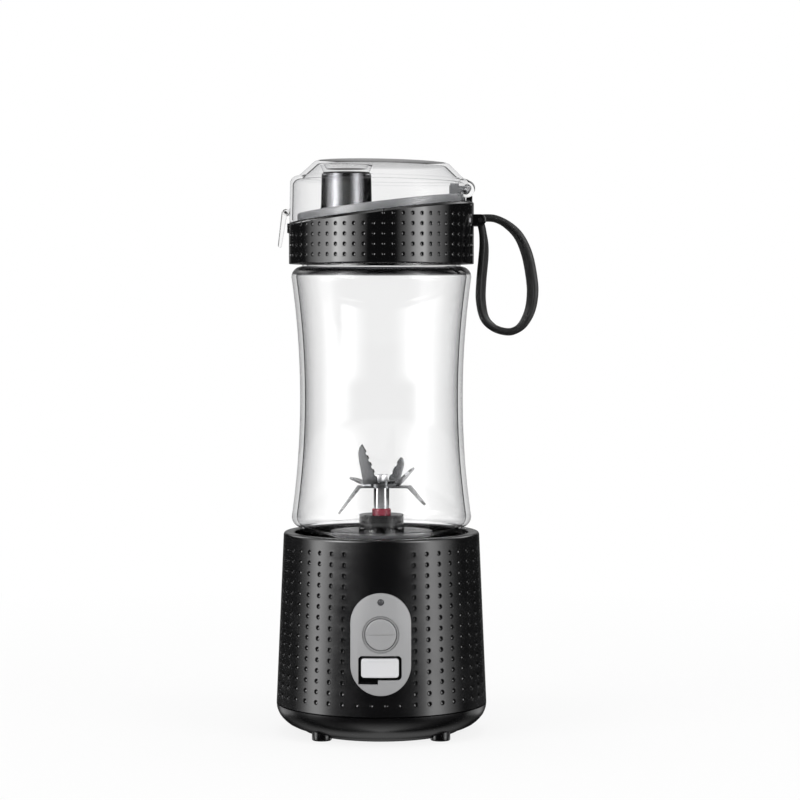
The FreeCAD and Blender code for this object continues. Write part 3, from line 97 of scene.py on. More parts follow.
# Screw threads: lead, starts, degrees that a ridge runs, and its width at root and tip
LOWER_THREAD, UPPER_THREAD = (20.0, 4, 70, 2.2, 1.2), (12.0, 3, 80, 1.8, 1.0)
# Jar
NECK_R, JAR_END_R, JAR_WAIST_R, JAR_ROUND, JAR_WALL = 31.6, 35.8, 32.4, 4.2, 2.2
JAR_FOOT_Z, JAR_SIDE_Z0, JAR_SIDE_Z1, JAR_TOP_Z = 66.3, 86.0, 181.4, 198.5
# Cap
CAP_R, CAP_BORE_R, CAP_Z0, CAP_MID_Z, CAP_SLANT = 36.8, 34.2, 186.5, 207.9, 6.77
WEB_Z0, WEB_Z1 = 199.4, 201.2
RING_COLUMNS, RING_FIRST, RING_ROWS = 60, 271.6, [190.0 + 3.94 * i for i in range(6)]
SPOUT_X, SPOUT_R, SPOUT_FOOT_R, SPOUT_BORE_R, SPOUT_TOP_Z = -13.9, 9.9, 10.5, 8.3, 222.2
DECK_R, DECK_RISE, DECK_RIM, DECK_T = 33.4, 2.1, 2.6, 1.6
# Flip cover, latch and hinge
COVER_R, COVER_WALL, COVER_ROUND, COVER_TILT = 36.3, 1.4, 3.0, 1.2
COVER_SHOULDER_Z, COVER_CONE_R, COVER_TOP_R, COVER_TOP_Z = 220.8, 33.0, 26.4, 227.0
PLUG_R, PLUG_TOP_R, PLUG_WALL, PLUG_Z = 9.3, 10.8, 1.4, 222.9
HINGE_X, HINGE_Z, HINGE_R, HINGE_HALF_W = 33.9, 216.2, 3.2, 7.6
CHEEK_T, CHEEK_FOOT_X = 3.0, 27.2
LATCH_X, LATCH_Z, LATCH_TIP_X, LATCH_TIP_Z = -37.9, 206.9, -40.5, 193.2
LATCH_BARREL_R, LATCH_HALF_W, LATCH_T, LATCH_PIN_R, LATCH_EAR_T = 1.3, 4.0, 2.0, 0.55, 1.6
# Pedestal, seal, shaft and nut
PEDESTAL_R, PEDESTAL_TOP_Z, PEDESTAL_BORE_R, SEAL_Z, SEAL_H = 8.9, 86.8, 6.25, 85.2, 2.4
SHAFT_R, SHAFT_Z, STUD_R, BLADE_SEAT_Z, STUD_Z = 3.1, 74.05, 2.0, 97.4, 102.45
NUT_R, NUT_Z0, NUT_Z1 = 2.9, 100.1, 102.6
# Strap
STRAP_PIN_X, STRAP_PIN_Z, STRAP_PIN_R = 39.2, 203.9, 0.95
STRAP_EYE_R, STRAP_W, STRAP_T, STRAP_EAR_T = 2.3, 7.0, 3.0, 1.6
# Middle line of the strap as it hangs: out from the pin, drop below it, twist in degrees.
STRAP_LINE = (
    (0.6, -0.9, 0), (5.8, -0.7, 0), (10.8, 1.7, 6), (15.4, 6.2, 12), (18.6, 13.1, 18),
    (20.4, 21.5, 20), (21.0, 28.7, 20), (19.9, 35.9, 16), (16.9, 41.6, 8), (13.0, 44.1, 0),
    (8.9, 44.0, 0), (5.0, 42.3, 8), (1.8, 38.6, 14), (0.4, 31.6, 18), (0.6, 23.9, 18),
    (1.4, 15.1, 18), (1.6, 9.5, 14), (1.0, 4.1, 6), (0.2, 0.9, 0),
)
# A quarter of the strap's section, in shares of half its thickness and width.
STRAP_EDGE = ((0.55, 1.0), (0.80, 0.9), (0.92, 0.5), (1.0, 0.08))


# ------------------------------------------------------------ colours and shader nodes
def linear(code):
    """Linear colour of an sRGB hex code."""
    shares = [int(code[i:i + 2], 16) / 255 for i in (1, 3, 5)]
    return tuple(c / 12.92 if c <= 0.04045 else ((c + 0.055) / 1.055) ** 2.4
                 for c in shares) + (1.0,)


def add(tree, kind, inputs=None, **settings):
    """Add a shader node with its settings and its inputs, each a value or a link."""
    node = tree.nodes.new(kind)
    for name, value in settings.items():
        setattr(node, name, value)
    for name, value in (inputs or {}).items():
        if isinstance(value, bpy.types.NodeSocket):
            tree.links.new(value, node.inputs[name])
        else:
            node.inputs[name].default_value = value
    return node


def blank(name):
    """A new material with an empty node tree."""
    material = bpy.data.materials.new(name)
    material.use_nodes = True
    material.node_tree.nodes.clear()
    return material, material.node_tree


def surface(name, colour, **values):
    """A material with one Principled shader; values are set on the shader's own sockets."""
    material, tree = blank(name)
    named = {key.replace("_", " ").title().replace("Ior", "IOR"): v for key, v in values.items()}
    named["Base Color"] = linear(colour) if isinstance(colour, str) else colour
    shader = add(tree, "ShaderNodeBsdfPrincipled", named)
    add(tree, "ShaderNodeOutputMaterial", {"Surface": shader.outputs["BSDF"]})
    return material, tree, shader


def cloud(tree, size, detail=2.0, stretch=(1, 1, 1)):
    """Noise whose spots are about size mm across on the piece."""
    place = add(tree, "ShaderNodeTexCoord").outputs["Object"]
    sized = add(tree, "ShaderNodeMapping", {"Vector": place, "Scale": stretch})
    return add(tree, "ShaderNodeTexNoise", {"Vector": sized.outputs["Vector"],
               "Scale": 1 / (size * MM), "Detail": detail}).outputs["Fac"]


def relief(tree, shader, height, depth):
    """Let a height pattern stand depth mm proud on the surface."""
    bump = add(tree, "ShaderNodeBump", {"Height": height, "Distance": depth * MM})
    tree.links.new(bump.outputs["Normal"], shader.inputs["Normal"])


def wander(tree, shader, pattern, low, high):
    """Let the roughness wander between two values with a pattern."""
    spread = add(tree, "ShaderNodeMapRange", {"Value": pattern, "From Min": 0.3, "From Max": 0.7,
                 "To Min": low, "To Max": high})
    tree.links.new(spread.outputs["Result"], shader.inputs["Roughness"])


def tint(tree, shader, pattern, first, second):
    """Let the base colour drift between two colours with a pattern."""
    spread = add(tree, "ShaderNodeMapRange", {"Value": pattern, "From Min": 0.35,
                 "From Max": 0.65})
    mix = add(tree, "ShaderNodeMix", {"Factor": spread.outputs["Result"], "A": linear(first),
              "B": linear(second)}, data_type="RGBA")
    tree.links.new(mix.outputs["Result"], shader.inputs["Base Color"])


# ------------------------------------------------------------ finishes
def satin_abs(name, colour, roughness=0.21):
    """Injection-moulded ABS from a spark-eroded mould: a soft, fine-grained sheen."""
    material, tree, shader = surface(name, colour, roughness=roughness, ior=1.54)
    wander(tree, shader, cloud(tree, 9.0), roughness - 0.03, roughness + 0.04)
    relief(tree, shader, cloud(tree, 0.45, 3.0), 0.006)
    return material


def gloss_abs(name, colour):
    """ABS from a polished mould: a wet black gloss with faint flow marks."""
    material, tree, shader = surface(name, colour, roughness=0.12, ior=1.54)
    wander(tree, shader, cloud(tree, 14.0), 0.1, 0.15)
    relief(tree, shader, cloud(tree, 6.0, 1.0), 0.01)
    return material


def mirror_moulding(name, colour, roughness, density):
    """Plastic from a diamond-polished mould: clean, even reflections in a dark surface."""
    material, tree, shader = surface(name, colour, roughness=roughness, ior=density)
    wander(tree, shader, cloud(tree, 8.0), roughness, roughness + 0.02)
    return material


def silicone(name, colour, roughness):
    """Moulded silicone rubber: dull, slightly dusty, soft at the edges."""
    material, tree, shader = surface(name, colour, roughness=roughness, ior=1.43,
                                     sheen_weight=0.05, sheen_roughness=0.4)
    wander(tree, shader, cloud(tree, 4.0), roughness - 0.06, roughness + 0.08)
    relief(tree, shader, cloud(tree, 0.5, 3.0), 0.015)
    return material


def clear_plastic(name, face, edge, gloss, dark=None):
    """Clear plastic: bright face on and greyer edge on, the grey a painted edge shade. The wall is
    thin, so it hardly bends what is behind it, and a coat of the plastic's own index gives the gloss
    on its faces. A painted dark stripe, by its lower and upper height, stands in for where a thick
    bend shows the black part above it."""
    material, tree, shader = surface(name, face, roughness=0.0, ior=1.01,
                                     transmission_weight=1.0, coat_weight=gloss,
                                     coat_roughness=0.02, coat_ior=1.5)
    # Painted shade: the clear colour turns to the greyer edge colour where the surface is seen edge
    # on.
    facing = add(tree, "ShaderNodeLayerWeight", {"Blend": 0.5}).outputs["Facing"]
    painted_edge_shade = add(tree, "ShaderNodeMapRange", {"Value": facing, "From Min": 0.3,
                "From Max": 0.95}, interpolation_type="SMOOTHSTEP").outputs["Result"]
    colour = add(tree, "ShaderNodeMix", {"Factor": painted_edge_shade, "A": linear(face), "B": linear(edge)},
                 data_type="RGBA").outputs["Result"]
    if dark:
        low, high = dark
        # Painted shade: a dark grey stripe between two heights stands in for the black part seen
        # through a thick bend.
        place = add(tree, "ShaderNodeTexCoord").outputs["Object"]
        height = add(tree, "ShaderNodeSeparateXYZ", {0: place}).outputs["Z"]
        start = add(tree, "ShaderNodeMapRange", {"Value": height, "From Min": (low - 0.7) * MM,
                    "From Max": low * MM}).outputs["Result"]
        stop = add(tree, "ShaderNodeMath", {0: height, 1: high * MM},
                   operation="LESS_THAN").outputs[0]
        band = add(tree, "ShaderNodeMath", {0: start, 1: stop}, operation="MULTIPLY").outputs[0]
        colour = add(tree, "ShaderNodeMix", {"Factor": band, "A": colour, "B": linear("#4A4A4B")},
                     data_type="RGBA").outputs["Result"]
    tree.links.new(colour, shader.inputs["Base Color"])
    return material


def metal(name, colour, roughness, grain=0.25, stretch=(1, 1, 1), depth=0.004):
    """Bare or plated metal; the stretch draws its fine scratches out along one axis."""
    material, tree, shader = surface(name, colour, roughness=roughness, metallic=1.0)
    wander(tree, shader, cloud(tree, 3.0), roughness * 0.8, roughness * 1.25)
    relief(tree, shader, cloud(tree, grain, 3.0, stretch), depth)
    return material


def wound_copper(name, colour):
    """Enamelled wire laid in turns 0.5 mm apart round the armature."""
    material, tree, shader = surface(name, colour, roughness=0.3, metallic=1.0)
    place = add(tree, "ShaderNodeTexCoord").outputs["Object"]
    turns = add(tree, "ShaderNodeTexWave", {"Vector": place, "Scale": 1 / (0.5 * MM * 6.28),
                "Distortion": 0.4}, bands_direction="Z")
    relief(tree, shader, turns.outputs["Fac"], 0.1)
    return material


def board_laminate(name, mask, tracks):
    """Green solder mask over copper tracks about 1.2 mm apart."""
    material, tree, shader = surface(name, mask, roughness=0.3, ior=1.5)
    place = add(tree, "ShaderNodeTexCoord").outputs["Object"]
    lines = add(tree, "ShaderNodeTexBrick", {"Vector": place, "Scale": 1 / (5.0 * MM),
                "Color1": linear(mask), "Color2": linear(mask), "Mortar": linear(tracks),
                "Mortar Size": 0.02})
    tree.links.new(lines.outputs["Color"], shader.inputs["Base Color"])
    relief(tree, shader, cloud(tree, 0.6), 0.02)
    return material


def shrink_wrap(name, colour, shade):
    """Shrink film on the cells, with soft lengthways wrinkles."""
    material, tree, shader = surface(name, colour, roughness=0.25, ior=1.5)
    wrinkles = cloud(tree, 2.5, 2.0, (0.15, 1, 1))
    tint(tree, shader, wrinkles, colour, shade)
    relief(tree, shader, wrinkles, 0.05)
    return material


def ceramic_magnet(name, colour, shade):
    """Sintered ferrite: dull, dark and finely pitted."""
    material, tree, shader = surface(name, colour, roughness=0.7)
    pits = cloud(tree, 0.6, 4.0)
    tint(tree, shader, pits, colour, shade)
    relief(tree, shader, pits, 0.05)
    return material


def cup_finishes(colours):
    """Every finish of the cup blender, by the name of its material slot."""
    shell, ring, panel, deck = (tuple(colour) + (1,) for colour in (
        colours.shell, colours.ring, colours.panel, colours.deck))
    return {
        # Moulded plastics: the base soft-lit, the ring wet-looking, the greys flat and even.
        "black_satin_abs": satin_abs("satin_black_abs", shell),
        "black_gloss_abs": gloss_abs("gloss_black_abs", ring),
        "grey_abs": satin_abs("satin_grey_abs", panel, 0.45),
        "deck_grey_abs": satin_abs("fine_satin_grey_abs", deck, 0.3),
        "black_nylon": satin_abs("glass_filled_nylon", "#131314", 0.3),
        "component_black": satin_abs("moulded_epoxy", "#1D1D1F", 0.45),
        "smoked_lens": satin_abs("smoked_lens", "#505052", 0.2),
        "polished_nylon": mirror_moulding("polished_nylon", "#0C0C0D", 0.1, 1.62),
        # The disc's mid grey is partly its own tone and partly painted reflection of the white
        # background on its top.
        "polished_disc_painted_reflection": mirror_moulding("polished_disc_painted_reflection", "#6A6A6C", 0.16, 1.5),
        # Rubbers: dull, but for the wetted red lip of the seal.
        "port_silicone": silicone("pale_port_silicone", "#D9D9DB", 0.45),
        "black_silicone": silicone("black_silicone", "#0C0C0C", 0.5),
        "clear_gasket": silicone("milky_silicone", "#C9CBCC", 0.4),
        "red_silicone": silicone("red_silicone", "#8E3A48", 0.14),
        "lead_red": silicone("red_lead_sleeve", "#B3261E", 0.4),
        # Clear parts: the jar glossier than the cover and painted darker in a stripe at its upper
        # shoulder, standing in for the black ring seen bent through it; the light pipe has the
        # greyest painted edge shade.
        "clear_tritan": clear_plastic("clear_copolyester", "#FAFAFA", "#CFCFD0", 0.5,
                                      dark=(JAR_SIDE_Z1 + 1.3, JAR_SIDE_Z1 + 3.6)),
        "clear_cover": clear_plastic("clear_san", "#F8F8F8", "#E2E2E3", 0.1),
        "led_clear": clear_plastic("clear_epoxy", "#EFEFEF", "#B0B0B1", 0.5),
        # Metals: smoky chrome, ground blades, a mirror-bright shaft, duller plate inside.
        "spout_chrome": metal("dark_chrome", "#5C5C5E", 0.16, 0.3, depth=0.0006),
        "blade_steel": metal("ground_blade_steel", "#7C7D7F", 0.14, 0.2, (1, 1, 6), 0.0008),
        "polished_steel": metal("polished_steel", "#BEBEC0", 0.08, depth=0.0003),
        "bright_nut": metal("bright_plated_nut", "#E6E6E8", 0.45, depth=0.002),
        "zinc_steel": metal("zinc_plated_steel", "#B5B7BC", 0.3),
        "motor_steel": metal("drawn_can_steel", "#9FA1A4", 0.32, 0.3, (1, 1, 0.1), 0.01),
        "nickel": metal("nickel_strip", "#BDB9B0", 0.28, 0.4),
        # Inside: matt magnet, orange wire, blue film and green board.
        "ferrite": ceramic_magnet("ferrite", "#2B2B2D", "#39383A"),
        "copper": wound_copper("enamelled_copper", "#B4683C"),
        "cell_wrap": shrink_wrap("cell_shrink_wrap", "#2F6DA8", "#2A5F94"),
        "board_green": board_laminate("board_laminate", "#1E5B34", "#2F7A4A"),
    }


# ------------------------------------------------------------ mesh building blocks
def as_mesh(bm, name):
    """A mesh made of a bmesh, which is used up."""
    mesh = bpy.data.meshes.new(name)
    bm.to_mesh(mesh)
    bm.free()
    return mesh


def put_in(name, data):
    """Put a mesh, lamp or camera into the scene."""
    thing = bpy.data.objects.new(name, data)
    bpy.context.scene.collection.objects.link(thing)
    return thing


def place_piece(bm, name, body, slot, *nodes, sharp=32.0, finish=None):
    """Make a piece of the mesh, shade it smooth between sharp edges and seat it on its body."""
    bmesh.ops.remove_doubles(bm, verts=bm.verts, dist=1e-7)
    limit = math.radians(sharp)
    for face in bm.faces:
        face.smooth = True
    for edge in bm.edges:
        if len(edge.link_faces) != 2 or edge.calc_face_angle(0.0) > limit:
            edge.smooth = False
    piece = put_in(name, as_mesh(bm, name))
    piece.data.materials.append(FINISHES[finish or slot])
    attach(piece, body)
    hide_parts(*nodes)


def move(bm, x=0.0, y=0.0, z=0.0, verts=None):
    """Shift a mesh, or some of its corners, by mm."""
    bmesh.ops.translate(bm, verts=verts or bm.verts, vec=(x * MM, y * MM, z * MM))
    return bm


def turn(bm, degrees, axis, height=0.0):
    """Turn a mesh about an axis that crosses the blade axis at a height in mm."""
    bmesh.ops.rotate(bm, verts=bm.verts, cent=(0, 0, height * MM),
                     matrix=Matrix.Rotation(math.radians(degrees), 3, axis))
    return bm


def soften(bm, edges, size, segments=3, clamp=True):
    """Round edges off by a size in mm."""
    bmesh.ops.bevel(bm, geom=list(edges), offset=size * MM, affect="EDGES", segments=segments,
                    profile=0.5, material=-1, clamp_overlap=clamp)
    return bm


def along_y(edge):
    """How far an edge runs along Y, in mm."""
    return abs(edge.verts[0].co.y - edge.verts[1].co.y) / MM


def arc_points(centre, radius, first, last, steps):
    """(radius, height) points along an arc, angles in degrees."""
    angles = [math.radians(first + (last - first) * i / steps) for i in range(steps + 1)]
    return [(centre[0] + radius * math.cos(a), centre[1] + radius * math.sin(a)) for a in angles]


def lathe(points, steps=128, x=0.0):
    """Spin a closed outline of (radius, height) points about an upright axis."""
    bm = bmesh.new()
    corners = [bm.verts.new((r * MM, 0, z * MM)) for r, z in points]
    edges = [bm.edges.new((a, b)) for a, b in zip(corners, corners[1:] + corners[:1])
             if a.co.x > 1e-9 or b.co.x > 1e-9]
    bmesh.ops.spin(bm, geom=corners + edges, cent=(0, 0, 0), axis=(0, 0, 1), dvec=(0, 0, 0),
                   angle=math.tau, steps=steps, use_merge=True, use_duplicate=False)
    bmesh.ops.remove_doubles(bm, verts=bm.verts, dist=1e-7)
    move(bm, x)
    bmesh.ops.recalc_face_normals(bm, faces=bm.faces)
    return bm


def lathe_forward(points, z, steps=96):
    """Spin an outline of (radius, distance forward) points about an axis that runs along Y."""
    return move(turn(lathe(points, steps), 90, "X"), z=z)


def post(radius, x, y, z0, z1, edge=0.0, steps=40):
    """A round upright bar, its lower edge rounded off."""
    foot = [(radius, z0)]
    if edge:
        foot = [(radius - edge, z0)] + arc_points((radius - edge, z0 + edge), edge, -90, 0, 4)[1:]
    return move(lathe([(0, z0)] + foot + [(radius, z1), (0, z1)], steps), x, y)


def block(x0, x1, y0, y1, z0, z1, edge=0.0):
    """A block between corners in mm, its edges rounded off."""
    bm = bmesh.new()
    bmesh.ops.create_cube(bm, size=1.0)
    bmesh.ops.scale(bm, verts=bm.verts, vec=((x1 - x0) * MM, (y1 - y0) * MM, (z1 - z0) * MM))
    move(bm, (x0 + x1) / 2, (y0 + y1) / 2, (z0 + z1) / 2)
    return soften(bm, bm.edges, edge) if edge else bm


def rod(radius, x, z, y0, y1, steps, edge=0.0):
    """A round bar along Y."""
    bm = bmesh.new()
    bmesh.ops.create_cone(bm, cap_ends=True, segments=steps, radius1=radius * MM,
                          radius2=radius * MM, depth=(y1 - y0) * MM)
    move(turn(bm, 90, "X"), x, (y0 + y1) / 2, z)
    return soften(bm, [e for e in bm.edges if along_y(e) < 1e-6], edge, 2) if edge else bm


def upright_slab(x, z, width, height, radius, y0, y1, steps=6):
    """A plate across Y with rounded corners."""
    bm = block(x - width / 2, x + width / 2, y0, y1, z - height / 2, z + height / 2)
    corners = [e for e in bm.edges if along_y(e) > (y1 - y0) * 0.9]
    soften(bm, corners, radius, steps, clamp=False)
    bmesh.ops.remove_doubles(bm, verts=bm.verts, dist=1e-6)
    return bm


def prism(corners, depth):
    """A flat outline of corners in metres, made depth mm deep along Y."""
    bm = bmesh.new()
    face = bm.faces.new([bm.verts.new(corner) for corner in corners])
    grown = bmesh.ops.extrude_face_region(bm, geom=[face])["geom"]
    move(bm, y=depth, verts=[g for g in grown if isinstance(g, bmesh.types.BMVert)])
    bmesh.ops.recalc_face_normals(bm, faces=bm.faces)
    return bm


def both_sides(inner, outer):
    """The two spans of y between two distances from the middle."""
    return (-outer, -inner), (inner, outer)


def around(radius):
    """The four places at a radius on the diagonals of the base."""
    reach = radius * math.sqrt(0.5)
    return [(a * reach, b * reach) for a in (-1, 1) for b in (-1, 1)]


def helix_ridges(root, tip, z, lead, starts, span, root_w, tip_w):
    """The ridges of a screw thread, one per start."""
    bm = bmesh.new()
    steps = max(4, int(span / 5))
    rise = ((root, -root_w / 2), (tip, -tip_w / 2), (tip, tip_w / 2), (root, root_w / 2))
    for start in range(starts):
        corners = [bm.verts.new((r * MM, 0, (z + h) * MM)) for r, h in rise]
        face = bm.faces.new(corners)
        bmesh.ops.rotate(bm, verts=corners, cent=(0, 0, 0),
                         matrix=Matrix.Rotation(math.tau * start / starts, 3, "Z"))
        bmesh.ops.spin(bm, geom=[face], cent=(0, 0, 0), axis=(0, 0, 1),
                       dvec=(0, 0, lead * span / 360 / steps * MM),
                       angle=math.radians(span), steps=steps)
    bmesh.ops.recalc_face_normals(bm, faces=bm.faces)
    return bm


def combine(bm, tool, operation):
    """Cut a tool from a mesh, join it on, or keep what they share; both meshes are used up."""
    pair = [put_in("working", as_mesh(source, "working")) for source in (bm, tool)]
    change = pair[0].modifiers.new("combine", "BOOLEAN")
    change.operation = operation
    change.object = pair[1]
    change.solver = "MANIFOLD"
    graph = bpy.context.evaluated_depsgraph_get()
    made = bpy.data.meshes.new_from_object(pair[0].evaluated_get(graph))
    result = bmesh.new()
    result.from_mesh(made)
    for thing in pair:
        old = thing.data
        bpy.data.objects.remove(thing)
        bpy.data.meshes.remove(old)
    bpy.data.meshes.remove(made)
    return result


def joined(bm, *tools):
    """A mesh with other closed meshes joined on."""
    for tool in tools:
        bm = combine(bm, tool, "UNION")
    return bm


def cut(bm, *tools):
    """A mesh with other closed meshes cut away."""
    for tool in tools:
        bm = combine(bm, tool, "DIFFERENCE")
    return bm


# ------------------------------------------------------------ forms that pieces share
def housing_r(z):
    """Radius of the tapered face of the housing."""
    return SEAM_R + (RIM_R - SEAM_R) * (z - SEAM_Z) / (RIM_Z - SEAM_Z)


def slant_z(x, below=0.0):
    """Height of the ring's slanted edge, or of a line some mm below it."""
    return CAP_MID_Z + x * math.tan(math.radians(CAP_SLANT)) - below


def slanted(rise, above):
    """All the room above or below the ring's slanted edge raised by some mm."""
    low, high = (0, FAR) if above else (-FAR, 0)
    return move(turn(block(-80, 80, -80, 80, low, high), -CAP_SLANT, "Y"), z=CAP_MID_Z + rise)


def port_opening(wider, taller, y0, y1):
    """The opening of the charging port, with the finger notch at its lower left."""
    left, low = PORT_X - PORT_W / 2 - wider / 2, PORT_Z - PORT_H / 2
    slab = upright_slab(PORT_X, PORT_Z, PORT_W + wider, PORT_H + taller, PORT_CORNER_R, y0, y1)
    return joined(slab, block(left, left + NOTCH_W, y0, y1, low - NOTCH_DROP, PORT_Z))


SUPPORT = 0.12                  # narrow loop of faces that keeps a wall's end looking straight
OCTAGON = 0.293                 # share of a square's side that turns it into an octagon
BOWL_STEPS = ((0.10, 0.14), (0.22, 0.62), (0.35, 0.24))  # shares of half its width and depth


def dimpled_wall(columns, first, rows, bottom, top, radius_at, wanted, width, depth, room):
    """An open round wall, with a moulded dimple wherever one is wanted.

    It is laid out flat, as arc length by height, dimpled, and then wrapped round the axis.
    """
    bm = bmesh.new()
    pitch = 360.0 / columns
    flat = math.radians(1) * radius_at((bottom + top) / 2)
    half = width / 2 + room
    centres = [first + pitch * column for column in range(columns)]
    angles = [centre + side * half / flat for centre in centres for side in (-1, 1)]
    angles.append(angles[0] + 360)
    heights = [row + side * half for row in rows for side in (-1, 1)]
    heights = [bottom, bottom + SUPPORT, *heights, top - SUPPORT, top]
    across, up = len(angles) - 1, len(heights) - 1
    bmesh.ops.create_grid(bm, x_segments=across, y_segments=up, size=1.0)
    for vert in bm.verts:
        i = round((vert.co.x + 1) / 2 * across)
        j = round((vert.co.y + 1) / 2 * up)
        vert.co = (angles[i] * flat, heights[j], 0)
    cells = []
    for face in bm.faces:
        middle = face.calc_center_median()
        centre = first + pitch * round((middle.x / flat - first) / pitch)
        row = min(rows, key=lambda z: abs(z - middle.y))
        if abs(middle.x / flat - centre) < 0.1 and abs(middle.y - row) < 0.1 \
                and wanted(centre, row):
            cells.append(face)
    bmesh.ops.inset_individual(bm, faces=cells, thickness=room, depth=0, use_even_offset=True)
    corners = {vert for face in cells for vert in face.verts}
    bmesh.ops.bevel(bm, geom=list(corners), offset=width * OCTAGON, offset_type="OFFSET",
                    affect="VERTICES", segments=1, profile=0.5, material=-1,
                    clamp_overlap=False)
    bowls = [face for face in bm.faces if len(face.verts) == 8]
    for inward, sink in BOWL_STEPS:
        bmesh.ops.inset_individual(bm, faces=bowls, thickness=width / 2 * inward,
                                   depth=-depth * sink, use_even_offset=True)
    for vert in bm.verts:
        angle = math.radians(vert.co.x / flat)
        radius = radius_at(vert.co.y) + vert.co.z
        vert.co = Vector((radius * math.cos(angle), radius * math.sin(angle), vert.co.y)) * MM
    bmesh.ops.remove_doubles(bm, verts=bm.verts, dist=1e-6)
    return bm


def height_at(height, x):
    """A height in mm, or that of a line whose height varies with x."""
    return height(x) if callable(height) else height


def open_edge(bm, height):
    """The open round edge at a height."""
    return [e for e in bm.edges if len(e.link_faces) == 1 and all(
        abs(v.co.z / MM - height_at(height, v.co.x / MM)) < 0.02 for v in e.verts)]


def run_on(bm, edges, outline):
    """Carry an open round edge on through (radius, height) steps; returns the new open edge."""
    for radius, height in outline:
        grown = bmesh.ops.extrude_edge_only(bm, edges=edges)["geom"]
        new = {g for g in grown if isinstance(g, bmesh.types.BMVert)}
        for vert in new:
            reach = math.hypot(vert.co.x, vert.co.y)
            x, y = vert.co.x / reach * radius, vert.co.y / reach * radius
            vert.co = Vector((x, y, height_at(height, x))) * MM
        edges = [g for g in grown if isinstance(g, bmesh.types.BMEdge) and new.issuperset(g.verts)]
    return edges


def wrap_on_housing(bm, behind=-1e9):
    """Curve a flat front piece round the housing, its y counted from the housing's face; what
    lies further in than behind mm moves in as it is."""
    for vert in bm.verts:
        x, z = vert.co.x / MM, vert.co.z / MM
        if -vert.co.y / MM <= behind:
            x, z = 0, BUTTON_Z
        vert.co.y -= math.sqrt(housing_r(z) ** 2 - x ** 2) * MM
    return bm


def sliced(bm, first, last):
    """Divide a mesh by upright planes across X, so that it can be curved."""
    x = first
    while x < last:
        bmesh.ops.bisect_plane(bm, geom=bm.verts[:] + bm.edges[:] + bm.faces[:], dist=1e-7,
                               plane_co=(x * MM, 0, 0), plane_no=(1, 0, 0))
        x += STRIP_W
    return bm


def soft_front(bm, amount):
    """Round the rim of a slab's front face."""
    front = min(v.co.y for v in bm.verts) + 1e-6
    return soften(bm, [e for e in bm.edges if all(v.co.y < front for v in e.verts)], amount)


# ------------------------------------------------------------ user settings
def length(name, description, default):
    """A length that the user may change, from its default in mm."""
    return FloatProperty(name=name, description=description, default=default * MM, unit="LENGTH")


def colour(name, description, code):
    """A colour that the user may change, from its sRGB hex code."""
    return FloatVectorProperty(name=name, description=description, subtype="COLOR", size=3,
                               default=linear(code)[:3])


class CupMouldings(bpy.types.PropertyGroup):
    """Sizes of the moulded dimples"""
    base_dimple: length("Base dimple", "Width of a dimple of the base", 1.9)
    base_dimple_depth: length("Base dimple depth", "Depth of that dimple", 0.9)
    ring_dimple: length("Ring dimple", "Width of a dimple of the ring", 1.6)
    ring_dimple_depth: length("Ring dimple depth", "Depth of that dimple", 0.7)


class CupColours(bpy.types.PropertyGroup):
    """Colours of the moulded plastics"""
    shell: colour("Base shell", "Satin plastic of the base", "#0A0A0B")
    ring: colour("Cap ring", "Glossy plastic of the cap's ring", "#0A0A0B")
    panel: colour("Panel", "Grey plastic of the front panel", "#9D9D9E")
    deck: colour("Deck", "Grey plastic of the cap's deck", "#7E7F81")


# ------------------------------------------------------------ pieces
FINISHES = {}
# The tower plate's grey finish is partly painted reflection.
NODE_FINISHES = {"tower_plate": "polished_disc_painted_reflection", "hinge_pin": "bright_nut"}


class CUP_OT_finishes(bpy.types.Operator):
    """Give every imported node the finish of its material"""
    bl_idname = "cup.finishes"
    bl_label = "Finishes"

    def execute(self, context):
        FINISHES.update(cup_finishes(context.scene.cup_colours))
        for node in frame["nodes"].values():
            for place in node.material_slots:
                place.material = FINISHES[place.material.name.split(".")[0]]
        for name, finish in NODE_FINISHES.items():
            frame["nodes"][name].material_slots[0].material = FINISHES[finish]
        return {"FINISHED"}


